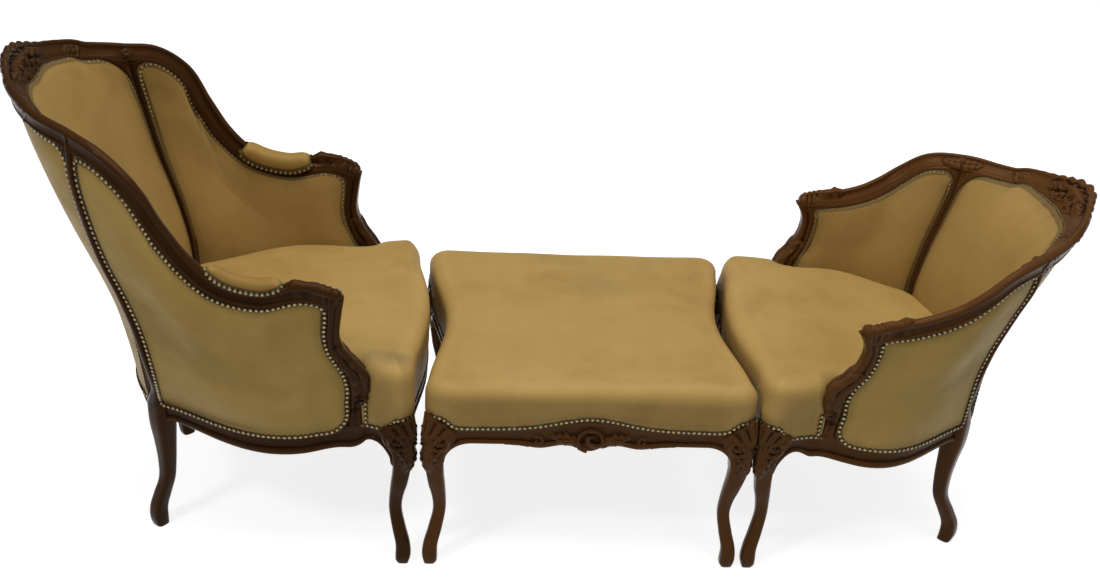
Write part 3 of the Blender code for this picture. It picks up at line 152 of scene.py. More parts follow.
# Legs from floor to seat rail: front as height, set-back and width shares, rear as height,
# kick, inset and width shares
FRONT_LEG_SHARES = (
    (0.00, 0.35, 0.42), (0.05, 0.15, 0.50), (0.13, 0.20, 0.48), (0.24, 0.60, 0.45),
    (0.38, 0.98, 0.42), (0.48, 0.84, 0.46), (0.57, 0.54, 0.54), (0.68, 0.22, 0.61),
    (0.77, 0.06, 0.66), (0.83, 0.02, 0.72), (0.87, 0.00, 0.84), (0.91, 0.00, 1.00),
    (1.00, 0.00, 1.00))
REAR_LEG_SHARES = (
    (0.00, 0.95, 1.2, 0.60), (0.05, 1.03, 0.9, 0.68), (0.13, 1.00, 0.8, 0.68),
    (0.24, 0.60, 1.0, 0.66), (0.36, 0.10, 1.2, 0.62), (0.50, -0.05, 0.9, 0.68),
    (0.66, -0.05, 0.4, 0.82), (0.80, 0.00, 0.0, 0.98), (0.96, 0.00, 0.0, 1.00))

# A moulded top rail's section, as shares of its half width and half thickness: from its
# crown down the sitter's side, under it and up its outer side
RAIL_MOULDING_SHARES = (
    (1.00, -0.46), (0.99, -0.26), (0.92, -0.08), (0.82, -0.04), (0.76, -0.10),
    (0.60, 0.00), (0.42, 0.16), (0.24, 0.36), (0.08, 0.52), (-0.06, 0.58), (-0.12, 0.60),
    (-0.17, 0.68), (-0.27, 0.72), (-0.38, 0.70), (-0.46, 0.62), (-0.54, 0.52),
    (-0.80, 0.48), (-1.00, 0.40),
    (-1.00, 0.00), (-1.00, -0.46), (-0.70, -0.60), (-0.64, -0.84), (-0.54, -0.96),
    (-0.42, -0.94), (-0.34, -0.84), (-0.20, -0.80), (0.04, -0.78), (0.26, -0.80),
    (0.38, -0.88), (0.50, -0.99), (0.66, -1.00), (0.82, -0.92), (0.94, -0.70))

# A back upright's section, wide towards the sitter and narrow behind
STILE_MOULDING_SHARES = (
    (1.00, 0.00), (1.00, 0.46), (0.92, 0.64), (0.74, 0.76), (0.50, 0.80), (0.30, 0.74),
    (0.14, 0.62), (-0.14, 0.62), (-0.30, 0.74), (-0.50, 0.80), (-0.74, 0.76),
    (-0.92, 0.64), (-1.00, 0.46), (-1.00, 0.00), (-0.80, -0.30), (-0.62, -0.60),
    (-0.56, -0.84), (-0.34, -0.98), (0.00, -1.00), (0.34, -0.98), (0.56, -0.84),
    (0.62, -0.60), (0.80, -0.30))

# Half of an arm post's section from one edge to the other
UPRIGHT_MOULDING_SHARES = (
    (1.00, 0.00), (1.00, 0.40), (0.96, 0.66), (0.84, 0.84), (0.66, 0.96), (0.48, 1.00),
    (0.34, 0.94), (0.20, 0.86), (0.00, 0.82), (-0.20, 0.86), (-0.34, 0.94), (-0.48, 1.00),
    (-0.66, 0.96), (-0.84, 0.84), (-0.96, 0.66), (-1.00, 0.40), (-1.00, 0.00))

# A seat rail's section as height and thickness shares, from its upper outer edge down
SEAT_RAIL_MOULDING_SHARES = (
    (1.00, 0.80), (0.97, 0.95), (0.88, 1.0), (0.70, 0.98), (0.40, 0.88), (0.00, 0.82),
    (-0.30, 0.80), (-0.46, 0.82), (-0.52, 0.92), (-0.60, 1.01), (-0.74, 1.05),
    (-0.88, 1.01), (-0.98, 0.90), (-1.0, 0.72), (-1.0, 0.2), (-1.0, -0.9), (-0.8, -1.0),
    (0.8, -1.0), (1.0, -0.9), (1.0, 0.0), (1.00, 0.80))

# Distance from the crest's middle, height it stands over the plain rail, and how far its
# wood reaches down over the leather
LARGE_CREST_LINE = (
    (0.000, 0.029, 0.0180), (0.030, 0.027, 0.0120), (0.050, 0.022, 0.0080),
    (0.070, 0.017, 0.0060), (0.100, 0.010, 0.0050), (0.150, 0.007, 0.0040),
    (0.180, 0.006, 0.0030), (0.196, 0.003, 0.0110), (0.210, -0.001, 0.0130),
    (0.235, -0.001, 0.0120), (0.270, 0.000, 0.0080), (0.400, 0.000, 0.0080))
SMALL_CREST_LINE = (
    (0.000, 0.018, 0.0330), (0.030, 0.018, 0.0300), (0.055, 0.015, 0.0220),
    (0.090, 0.010, 0.0150), (0.130, 0.008, 0.0040), (0.155, 0.006, 0.0030),
    (0.168, 0.003, 0.0080), (0.182, -0.001, 0.0100), (0.210, -0.001, 0.0090),
    (0.260, 0.000, 0.0080), (0.400, 0.000, 0.0080))

# How far the leather's edge lies from the middle line of each member
ARM_MARGIN = 0.0120
ARM_OUTER_MARGIN = 0.0140
STILE_HALF_WIDTH = 0.0110
STILE_OUTER_MARGIN = 0.0070

# Nails
NAIL_PITCH = 0.0108
NAIL_RADIUS = 0.0052
NAIL_HEIGHT = 0.0032
NAIL_INSET = 0.0050
NAIL_SINK = 0.0004
NAIL_BASE = 0.0008
NAIL_SHARP = 80

# Leather: a panel's hang over its rail, the reach of the grime and painted shade from the
# nails, the grid of a seat, the depth of its rounding, and the height of its foot
PANEL_HANG = 0.0105
FIELD_REACH = 0.030
SEAT_CELLS = 54
SEAT_FRONT_CELLS = 18
SEAT_WALL_ROWS = 12
SEAT_ROUND_ROWS = 9
SEAT_ROUNDING_DEPTH = 0.032
SEAT_FILL_PASSES = 1500
LEATHER_FOOT = SEAT_RAIL_TOP - 0.009
LEATHER_RELIEF = (10, 0.0016)
LEATHER_SHARP = 70

# Wood: passes and span of the relief value, room for carving beside the next section, the
# leaf over a knee, fillets of the rails as reach and drop at each end
WOOD_RELIEF = (24, 0.0016)
CREST_RELIEF = (12, 0.0014)
WOOD_SHARP = 50
KNEE_ROOM = 0.0026
LEAF_ROWS = 24
LEAF_COLUMNS = 61
STOOL_LEAF_HEIGHT = KNEE_LEAF_HEIGHT + 0.010
STOOL_RAIL_LIFT = 0.019
POST_SLIMNESS = 0.76
CREST_GAP = 0.0002
RAIL_FILLETS = (0.068, 0.050, 0.068, 0.050)
SIDE_RAIL_FILLETS = (0.068, 0.044, 0.044, 0.022)
BACK_RAIL_FILLETS = (0.044, 0.022, 0.044, 0.022)
SHELL_SCALE = 1.14
SHELL_CENTRE = 0.336

# Jute straps under a seat
STRAP_COUNT = 5
STRAP_WIDTH = 0.050
STRAP_THICKNESS = 0.0008
STRAP_WAVE = 0.0009
STRAP_LIFT = 0.0012
STRAP_INSET = 0.030
STRAP_END = 0.026

# Studio: strengths, floor, and lamps as name, place, size and power
WORLD_STRENGTH = 0.25
FLOOR_GLOW = 0.80
FLOOR_SIZE = 60.0
LAMP_TARGET = (0.0, 0.0, 0.45)
LAMPS = (("key", (-2.4, -2.2, 3.6), 0.6, 30.0), ("top", (0.2, 0.0, 3.8), 3.2, 112.0))

# Camera, fitted to the photograph
CAMERA_PLACE = (-0.2753, -2.701, 2.012)
CAMERA_YAW = 5.28
CAMERA_PITCH = 28.99
CAMERA_ROLL = 4.15
CAMERA_LENS = 46.11
SENSOR_WIDTH = 36.0


def unit(vector):
    """Vectors at length one."""
    return vector / np.linalg.norm(vector, axis=-1, keepdims=True)


def smooth_step(low, high, x):
    """A soft step from 0 at low to 1 at high."""
    t = np.clip((np.asarray(x, dtype=float) - low) / (high - low), 0.0, 1.0)
    return t * t * (3 - 2 * t)


def bump(x, centre, width):
    """A bell that is 1 at its centre."""
    return np.exp(-((np.asarray(x, dtype=float) - centre) / width) ** 2)


def run_of(points):
    """Distances along a chain of points."""
    steps = np.linalg.norm(np.diff(points, axis=0), axis=1)
    return np.concatenate(([0.0], np.cumsum(steps)))


def at_marks(marks, run, values):
    """Values along a run, read off at some marks."""
    return np.stack([np.interp(marks, run, values[:, axis])
                     for axis in range(values.shape[1])], axis=1)


def rows_of(values, like):
    """One value for each ring of a member, spread over the ring's points."""
    return np.broadcast_to(values[:, None], like.shape)


class Curve:
    """A smooth curve through points, measured by the chords between them."""

    def __init__(self, points):
        self.points = np.array(points, dtype=float)
        chords = np.linalg.norm(np.diff(self.points, axis=0), axis=1)
        self.knots = run_of(self.points)
        slopes = np.diff(self.points, axis=0) / chords[:, None]
        before = chords[:-1, None]
        after = chords[1:, None]
        middle = (after * slopes[:-1] + before * slopes[1:]) / (before + after)
        first = 2 * slopes[0] - middle[0]
        last = 2 * slopes[-1] - middle[-1]
        self.slopes = np.vstack((first, middle, last))

    def at(self, distance):
        """Points at distances along the chords."""
        distance = np.asarray(distance, dtype=float)
        last_chord = len(self.knots) - 2
        k = np.clip(np.searchsorted(self.knots, distance) - 1, 0, last_chord)
        chord = (self.knots[k + 1] - self.knots[k])[..., None]
        s = (distance - self.knots[k])[..., None] / chord
        start = (2 * s**3 - 3 * s**2 + 1) * self.points[k]
        end = (3 * s**2 - 2 * s**3) * self.points[k + 1]
        leave = (s**3 - 2 * s**2 + s) * chord * self.slopes[k]
        arrive = (s**3 - s**2) * chord * self.slopes[k + 1]
        return start + end + leave + arrive

    def share(self, s):
        """Points at shares of the whole length."""
        return self.at(np.asarray(s, dtype=float) * self.knots[-1])


def resample(points, cells):
    """Points at even distances along a chain of points."""
    points = np.array(points, dtype=float)
    run = run_of(points)
    return at_marks(np.linspace(0.0, run[-1], cells + 1), run, points)


def patch(bottom, top, start, end):
    """A surface spanned between four edge curves that share their corners."""
    corners = (bottom(0.0), bottom(1.0), top(0.0), top(1.0))

    def at(u, v):
        u = np.asarray(u, dtype=float)
        v = np.asarray(v, dtype=float)
        a = u[..., None]
        b = v[..., None]
        across = (1 - b) * bottom(u) + b * top(u)
        along = (1 - a) * start(v) + a * end(v)
        low = (1 - a) * corners[0] + a * corners[1]
        high = (1 - a) * corners[2] + a * corners[3]
        return across + along - (1 - b) * low - b * high

    return at


def cosine_spread(count, weight=0.7):
    """Shares from 0 to 1 that lie closer together near both ends."""
    even = np.linspace(0.0, 1.0, count)
    return (1 - weight) * even + weight * (0.5 - 0.5 * np.cos(math.pi * even))


def closed_profile(points, count):
    """A closed section resampled to a count of points."""
    closed = np.vstack((points, points[:1]))
    return Curve(resample(closed, len(closed) * 6)).share(
        np.linspace(0.0, 1.0, count + 1)[:-1])


def mirror_profile(half, count):
    """A closed section from its half, resampled to a count of points."""
    half = np.array(half)
    whole = np.vstack((half, half[-2:0:-1] * np.array((1, -1))))
    return closed_profile(whole, count)


def grid_faces(rows, columns, wrap=False):
    """Four-sided faces of a grid whose points run row by row."""
    faces = []
    last = columns if wrap else columns - 1
    for i in range(rows - 1):
        for j in range(last):
            k = (j + 1) % columns
            a = i * columns
            b = a + columns
            faces.append((a + j, b + j, b + k, a + k))
    return faces


def store(mesh, name, values):
    """Keep one value for each point of a mesh."""
    layer = mesh.attributes.new(name, "FLOAT", "POINT")
    layer.data.foreach_set("value", np.asarray(values).astype(np.float32))


def read(items, key, width, kind=float):
    """One property of all items of a mesh, a row for each."""
    values = np.zeros(len(items) * width, dtype=kind)
    items.foreach_get(key, values)
    return values.reshape(-1, width)


def mean_of_neighbours(ends, count):
    """A function that gives the middle of each point's neighbours, from all edges' ends."""
    near = np.bincount(ends.ravel(), minlength=count).clip(1)[:, None]
    starts = np.concatenate((ends[:, 0], ends[:, 1]))
    others = np.concatenate((ends[:, 1], ends[:, 0]))

    def mean(points):
        return np.stack([np.bincount(starts, points[others, axis], count)
                         for axis in range(3)], axis=1) / near

    return mean


def mark_relief(mesh, passes, span):
    """Store how far each point stands above its surroundings, 0.5 where it's level."""
    places = read(mesh.vertices, "co", 3)
    normals = read(mesh.vertices, "normal", 3)
    mean = mean_of_neighbours(read(mesh.edges, "vertices", 2, int), len(places))
    soft = places.copy()
    for _ in range(passes):
        soft = 0.5 * soft + 0.5 * mean(soft)
    height = np.sum((places - soft) * normals, axis=1)
    store(mesh, "relief", np.clip(0.5 + 0.5 * height / span, 0.0, 1.0))


def add_piece(name, points, faces, material, body, nodes=(), uv=None,
              relief=WOOD_RELIEF, sharp=WOOD_SHARP):
    """A smooth-shaded piece on a body, standing for CAD nodes."""
    mesh = bpy.data.meshes.new(name)
    mesh.from_pydata([tuple(p) for p in np.asarray(points)], [], faces)
    mesh.validate()
    thing = bpy.data.objects.new(name, mesh)
    bpy.context.scene.collection.objects.link(thing)
    turn_outwards(mesh)
    mesh.shade_smooth()
    mesh.set_sharp_from_angle(angle=math.radians(sharp))
    if uv is not None:
        layer = mesh.attributes.new("grain", "FLOAT2", "POINT")
        layer.data.foreach_set("vector", np.asarray(uv, dtype=np.float32).ravel())
    if relief:
        mark_relief(mesh, *relief)
    mesh.materials.append(material)
    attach(thing, body)
    if nodes:
        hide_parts(*nodes)
    return thing


def turn_outwards(mesh):
    """Make a mesh's faces agree and look outwards."""
    shape = bmesh.new()
    shape.from_mesh(mesh)
    bmesh.ops.recalc_face_normals(shape, faces=shape.faces)
    if shape.calc_volume(signed=True) < 0:
        bmesh.ops.reverse_faces(shape, faces=shape.faces)
    shape.to_mesh(mesh)
    shape.free()


class Section:
    """One section of the row: its origin at the front knees, and its sense along X."""

    def __init__(self, name, body, facing, origin):
        self.name = name
        self.body = body
        self.facing = facing
        self.origin = origin

    def place(self, points, side=1):
        """Section points (e, y, z) as points in the model's frame."""
        points = np.asarray(points, dtype=float)
        return points * np.array((self.facing, side, 1.0)) + np.array((self.origin, 0, 0))

    def hand(self, side):
        """Left or right of someone sitting in the section."""
        return "left" if side * self.facing < 0 else "right"


class Member:
    """A wooden member swept along a path, with a section that may change on the way."""

    def __init__(self, centres, wide, deep, half_wide, half_deep, profile):
        self.centres = centres
        self.wide = wide
        self.deep = deep
        count = len(centres)
        self.half_wide = np.broadcast_to(half_wide, (count,))[:, None]
        self.half_deep = np.broadcast_to(half_deep, (count,))[:, None]
        profile = np.asarray(profile)
        if profile.ndim == 2:
            profile = np.broadcast_to(profile, (count,) + profile.shape)
        self.a = profile[..., 0] * self.half_wide
        self.b = profile[..., 1] * self.half_deep
        self.run = run_of(centres)

    def outward(self):
        """Outward directions of the section, as shares of its two axes."""
        da = np.roll(self.a, -1, axis=1) - np.roll(self.a, 1, axis=1)
        db = np.roll(self.b, -1, axis=1) - np.roll(self.b, 1, axis=1)
        turn = np.sign(np.sum(self.a * np.roll(self.b, -1, axis=1)
                              - self.b * np.roll(self.a, -1, axis=1), axis=1))[:, None]
        length = np.hypot(da, db).clip(1e-9)
        return turn * db / length, -turn * da / length

    def raise_by(self, height):
        """Move the surface outwards by a height for each of its points."""
        out_a, out_b = self.outward()
        self.a = self.a + out_a * height
        self.b = self.b + out_b * height

    def points(self):
        """Surface points, ring by ring."""
        return (self.centres[:, None, :] + self.wide[:, None, :] * self.a[..., None]
                + self.deep[:, None, :] * self.b[..., None])

    def uv(self):
        """Distances along and round the member, in metres."""
        rows, columns = self.a.shape
        girth = np.hypot(np.roll(self.a, -1, axis=1) - self.a,
                         np.roll(self.b, -1, axis=1) - self.b)
        around = np.concatenate((np.zeros((rows, 1)), np.cumsum(girth, axis=1)[:, :-1]),
                                axis=1)
        along = np.repeat(self.run[:, None], columns, axis=1)
        return np.stack((along, around), axis=-1)


def closed_tube(rings):
    """Points and faces of a tube of rings with a fan at each end."""
    rows, columns = rings.shape[:2]
    points = rings.reshape(-1, 3)
    faces = grid_faces(rows, columns, wrap=True)
    first = len(points)
    points = np.vstack((points, rings[0].mean(axis=0), rings[-1].mean(axis=0)))
    for j in range(columns):
        k = (j + 1) % columns
        faces.append((first, j, k))
        base = (rows - 1) * columns
        faces.append((first + 1, base + k, base + j))
    return points, faces


def add_member(section, name, member, material, node, mirror=(1, 1), relief=WOOD_RELIEF):
    """A member as one piece that stands for a CAD node."""
    points, faces = closed_tube(member.points())
    flat = member.uv().reshape(-1, 2)
    uv = np.vstack((flat, flat[:1], flat[-1:]))
    add_piece(name, section.place(points * np.array(mirror + (1.0,))), faces, material,
              section.body, (node,), uv, relief)


def blend_profiles(first, second, shares):
    """Sections between two profiles, one for each share."""
    shares = np.asarray(shares)[:, None, None]
    return (1 - shares) * first[None] + shares * second[None]


def soft_box(count, power=3.2):
    """A square section with rounded corners."""
    turns = np.linspace(0.0, 2 * math.pi, count + 1)[:-1]
    across = np.cos(turns)
    up = np.sin(turns)
    size = (np.abs(across) ** power + np.abs(up) ** power) ** (-1 / power)
    return np.stack((across * size, up * size), axis=1)


RAIL_PROFILE = closed_profile(RAIL_MOULDING_SHARES, 72)
SEAT_RAIL_PROFILE = resample(SEAT_RAIL_MOULDING_SHARES, 72)[:-1]
STILE_PROFILE = closed_profile(STILE_MOULDING_SHARES, 48)
UPRIGHT_PROFILE = mirror_profile(UPRIGHT_MOULDING_SHARES, 56)


class Chair(Section):
    """A bergere: the curves of its frame, and the walls between them."""

    def __init__(self, name, body, facing, reach, half_width, crest, kick, seat,
                 crest_table, shares):
        low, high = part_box(f"{name}_front_leg_left")
        super().__init__(name, body, facing, high.x if facing < 0 else low.x)
        self.reach = reach
        self.half_width = half_width
        self.rise = crest - SEAT_RAIL_TOP
        self.crest_table = crest_table
        self.junction = 0.0 if facing > 0 else -0.034
        self.kick = kick
        self.seat = seat
        top = [self.point(s) for s in shares["top"]]
        mirrored = [p * np.array((1, -1, 1)) for p in top[-2::-1]]
        self.top = Curve(top + mirrored)
        self.join = self.top.knots[shares["join"]]
        self.centre = self.top.knots[len(top) - 1]
        self.stile = Curve([self.point(s) for s in shares["stile"]])
        self.post = Curve([self.point(s) for s in shares["post"]])
        self.spine = Curve([self.point((e, 0.0, z)) for e, z in shares["spine"]])
        rail_front = [np.array((e * reach, y * KNEE_SPREAD / 2, SEAT_RAIL_TOP))
                      for e, y in shares["rail_front"]]
        self.rail_side = Curve([self.point((e, y, 0.0)) for e, y in shares["rail_side"]])
        back = [self.point((e, y, 0.0)) for e, y in shares["rail_back"]]
        mirrored = [p * np.array((1, -1, 1)) for p in back[-2::-1]]
        self.rail_back = Curve(back + mirrored)
        self.rail_line = Curve(rail_front + list(self.rail_side.share(np.linspace(0, 1, 9))))
        self.side_wall = patch(self.rail_side.share, lambda u: self.top.at(u * self.join),
                               self.post.share, self.stile.share)
        self.back_half = patch(lambda u: self.rail_back.share(u / 2), self.crest_line,
                               self.stile.share, self.spine.share)

    def point(self, share):
        """A section point from its shares of reach, half width and rise."""
        return np.array((share[0] * self.reach, share[1] * self.half_width,
                         SEAT_RAIL_TOP + share[2] * self.rise))

    def crest_line(self, u):
        """The crest from the back upright at 0 to its middle at 1."""
        return self.top.at(self.join + np.asarray(u, dtype=float)
                           * (self.centre - self.join))

    def back_wall(self, u, v):
        """The back between its uprights, u from 0 to 1."""
        u = np.asarray(u, dtype=float)
        here = self.back_half(np.minimum(2 * u, 2 - 2 * u), v)
        flip = np.where(u > 0.5, -1.0, 1.0)
        return here * np.stack((np.ones_like(flip), flip, np.ones_like(flip)), axis=-1)

    def top_frames(self, distances):
        """Centres, and upward, inward and forward directions of the top rail."""
        fine = np.linspace(0.0, self.top.knots[-1], 601)
        step = self.centre / 100
        here = self.top.at(fine)
        along = unit(self.top.at(fine + step) - self.top.at(fine - step))
        near = fine <= self.centre
        half = np.where(near, fine, self.top.knots[-1] - fine)
        on_side = half <= self.join
        side_below = self.side_wall(np.clip(half / self.join, 0, 1), np.full_like(half, 0.8))
        u = np.clip((half - self.join) / (2 * (self.centre - self.join)), 0, 0.5)
        back_below = self.back_wall(u, np.full_like(half, 0.8))
        below = np.where(on_side[:, None], side_below, back_below)
        below[:, 1] *= np.where(near, 1.0, -1.0)
        up = here - below
        up = unit(up - along * np.sum(up * along, axis=1)[:, None])
        for _ in range(60):
            up[1:-1] = 0.25 * up[:-2] + 0.5 * up[1:-1] + 0.25 * up[2:]
        up = unit(up - along * np.sum(up * along, axis=1)[:, None])
        inward = unit(np.cross(along, up))
        frames = [unit(at_marks(distances, fine, axis)) for axis in (up, inward, along)]
        return [self.top.at(distances)] + frames

    def slant(self, u):
        """How much longer than straight across a wall's upright line cuts the arm rail."""
        u = np.clip(np.asarray(u, dtype=float), 0.02, 0.98)
        along = unit(self.top.at((u + 0.01) * self.join) - self.top.at((u - 0.01) * self.join))
        rise = unit(self.side_wall(u, 1.0 + 0 * u) - self.side_wall(u, 0.9 + 0 * u))
        across = np.linalg.norm(np.cross(along, rise), axis=-1)
        return np.minimum(1 / np.maximum(across, 0.2), 2.4)

    def post_half_width(self, v):
        """Half width of an arm post at a share of its height."""
        places = np.linspace(0.0, 1.0, len(ARM_POST_WIDTH_SHARES))
        curve = Curve(np.stack((places, np.array(ARM_POST_WIDTH_SHARES)), axis=1))
        return ARM_POST_WIDTH / 2 * curve.share(v)[..., 1]


class Opening:
    """A framed part of a wall: its leather ends in rounded corners beside the members."""

    def __init__(self, wall, start, end, bottom, top, radius):
        self.wall = wall
        self.start = start
        self.end = end
        self.bottom = bottom
        self.top = top
        self.radius = radius
        v = np.linspace(0.0, 1.0, 15)
        u = np.linspace(0.0, 1.0, 25)
        across = wall(u[:, None] + 0 * v[None, :], 0 * u[:, None] + v[None, :])
        self.widths = np.sum(np.linalg.norm(np.diff(across, axis=0), axis=2), axis=0)
        self.heights = np.sum(np.linalg.norm(np.diff(across, axis=1), axis=2), axis=1)
        self.u = u
        self.v = v

    def arc(self, distance, radius):
        """How far a rounded corner stands in at a distance from where it starts."""
        if radius <= 0:
            return 0.0 * distance
        y = np.minimum(distance + 0.293 * radius, radius)
        return radius - np.sqrt(np.maximum(radius**2 - (radius - y) ** 2, 0.0))

    def uv(self, s, t, inset=0.0):
        """Wall coordinates of the leather's own coordinates s and t, each from 0 to 1."""
        s = np.asarray(s, dtype=float)
        t = np.asarray(t, dtype=float)
        width = np.interp(t, self.v, self.widths)
        height = np.interp(s, self.u, self.heights)
        radii = self.radius
        from_top = (1 - t) * height
        from_foot = t * height
        first = (self.start(t) + inset + self.arc(from_top, radii[0])
                 + self.arc(from_foot, radii[2]))
        last = (self.end(t) + inset + self.arc(from_top, radii[1])
                + self.arc(from_foot, radii[3]))
        from_start = s * width
        from_end = (1 - s) * width
        high = (self.top(s) + inset + self.arc(from_start, radii[0])
                + self.arc(from_end, radii[1]))
        low = (self.bottom(s) + inset + self.arc(from_start, radii[2])
               + self.arc(from_end, radii[3]))
        u = (first + (width - first - last) * s) / width
        v = (low + (height - low - high) * t) / height
        return u, v

    def surface(self, s, t, offset, inset=0.0):
        """Points over the opening, moved along the level normal towards the sitter."""
        u, v = self.uv(s, t, inset)
        return lift(self.wall, u, v, offset)

    def loop(self, count):
        """Own coordinates round the opening's edge, from the start's foot upwards."""
        side = np.linspace(0.0, 1.0, count)
        start = (np.zeros(count), side)
        top = (side, np.ones(count))
        end = (np.ones(count), side[::-1])
        foot = (side[::-1], np.zeros(count))
        return start, top, end, foot


def lift(wall, u, v, offset):
    """Points of a wall moved along its level normal; below its foot it hangs upright."""
    step = 0.01
    inside_u = np.clip(u, step, 1 - step)
    above = np.maximum(v, 0.0)
    across = wall(inside_u + step, above) - wall(inside_u - step, above)
    upward = wall(u, above + step) - wall(u, above)
    normal = np.cross(across, upward)
    normal[..., 2] = 0.0
    points = wall(u, above) + unit(normal) * np.asarray(offset)[..., None]
    points[..., 2] += np.minimum(v, 0.0) * np.linalg.norm(wall(u, 1 + 0 * above)
                                                          - wall(u, 0 * above), axis=-1)
    return points


def pad_swell(s, t):
    """How full a pad is at its own coordinates."""
    swell = (1 - np.abs(2 * s - 1) ** 3) * (1 - np.abs(2 * t - 1) ** 3)
    return np.maximum(swell, 0.0) ** 0.6


def panel_swell(s, t):
    """How full an outside panel is at its own coordinates."""
    return (1 - (2 * s - 1) ** 2) * (1 - (2 * t - 1) ** 2)


def panel_offset(s, t, crown):
    """How far an outside panel stands out: it hangs over the seat rail at its foot."""
    hang = PANEL_HANG * smooth_step(0.42, 0.02, t)
    return -(PANEL_FACE + PANEL_THICKNESS + crown * panel_swell(s, t) + hang)


def closed_sheet(front, back):
    """Points and faces of a solid between two grids of points."""
    rows, columns = front.shape[:2]
    points = np.vstack((front.reshape(-1, 3), back.reshape(-1, 3)))
    behind = rows * columns
    faces = grid_faces(rows, columns)
    faces += [tuple(i + behind for i in f[::-1]) for f in grid_faces(rows, columns)]
    edge = [i * columns for i in range(rows)]
    edge += [(rows - 1) * columns + j for j in range(1, columns)]
    edge += [i * columns + columns - 1 for i in range(rows - 2, -1, -1)]
    edge += [j for j in range(columns - 2, 0, -1)]
    for k, a in enumerate(edge):
        b = edge[(k + 1) % len(edge)]
        faces.append((a, b, b + behind, a + behind))
    return points, faces


def edge_fade(grid_s, grid_t, widths):
    """0 at a leather's nailed edge and 1 in its field."""
    near = np.minimum(np.minimum(grid_s, 1 - grid_s) * widths[0],
                      np.minimum(grid_t, 1 - grid_t) * widths[1])
    return np.clip(near / FIELD_REACH, 0.0, 1.0)


def add_leather(section, name, front, back, fade, material, nodes, side=1):
    """A closed leather-covered pad from its two faces."""
    points, faces = closed_sheet(front, back)
    thing = add_piece(name, section.place(points, side), faces, material, section.body,
                      nodes, relief=LEATHER_RELIEF, sharp=LEATHER_SHARP)
    store(thing.data, "field",
          np.concatenate((fade.ravel(), np.zeros(back.shape[0] * back.shape[1]))))


class Nails:
    """Dome nails of one section, gathered into one piece."""

    RINGS = 3
    SIDES = 9

    def __init__(self, section):
        self.section = section
        self.places = []
        self.normals = []

    def add_line(self, points, normals, side=1, closed=False):
        """Nails at an even pitch along a line on the leather."""
        points = self.section.place(points, side)
        normals = normals * np.array((self.section.facing, side, 1.0))
        run = run_of(points)
        count = max(int(round(run[-1] / NAIL_PITCH)), 1)
        marks = np.linspace(0.0, run[-1], count + 1)
        if closed:
            marks = marks[:-1]
        self.places.append(at_marks(marks, run, points))
        self.normals.append(at_marks(marks, run, normals))

    def build(self, material):
        """The nails as one mesh of domes."""
        places = np.vstack(self.places)
        normals = unit(np.vstack(self.normals))
        helper = np.where(np.abs(normals[:, 2:3]) < 0.9, np.array((0.0, 0.0, 1.0)),
                          np.array((1.0, 0.0, 0.0)))
        across = unit(np.cross(normals, helper))
        other = np.cross(normals, across)
        rng = np.random.default_rng(7)
        tilt = rng.normal(0.0, 0.06, (len(places), 2))
        normals = unit(normals + across * tilt[:, :1] + other * tilt[:, 1:])
        across = unit(np.cross(normals, helper))
        other = np.cross(normals, across)
        size = NAIL_RADIUS * (1 + rng.normal(0.0, 0.02, len(places)))
        points = []
        rims = []
        for ring in range(self.RINGS):
            lift_angle = math.pi / 2 * ring / self.RINGS
            reach = math.cos(lift_angle)
            rise = NAIL_HEIGHT * math.sin(lift_angle) - NAIL_SINK
            for k in range(self.SIDES):
                turn = 2 * math.pi * k / self.SIDES
                move = across * math.cos(turn) + other * math.sin(turn)
                points.append(places + move * (size * reach)[:, None] + normals * rise)
                rims.append(np.full(len(places), ring / self.RINGS))
        points.append(places + normals * (NAIL_HEIGHT - NAIL_SINK))
        rims.append(np.ones(len(places)))
        points.append(places - normals * NAIL_BASE)
        rims.append(np.zeros(len(places)))
        each = len(points)
        points = np.stack(points, axis=1).reshape(-1, 3)
        rims = np.stack(rims, axis=1).ravel()
        dome = grid_faces(self.RINGS, self.SIDES, wrap=True)
        top = self.RINGS * self.SIDES
        dome += [((self.RINGS - 1) * self.SIDES + k,
                  (self.RINGS - 1) * self.SIDES + (k + 1) % self.SIDES, top)
                 for k in range(self.SIDES)]
        dome += [((k + 1) % self.SIDES, k, top + 1) for k in range(self.SIDES)]
        faces = [tuple(i + n * each for i in f) for n in range(len(places)) for f in dome]
        thing = add_piece(f"{self.section.name}_nails", points, faces, material,
                          self.section.body, relief=None, sharp=NAIL_SHARP)
        store(thing.data, "dome", rims)


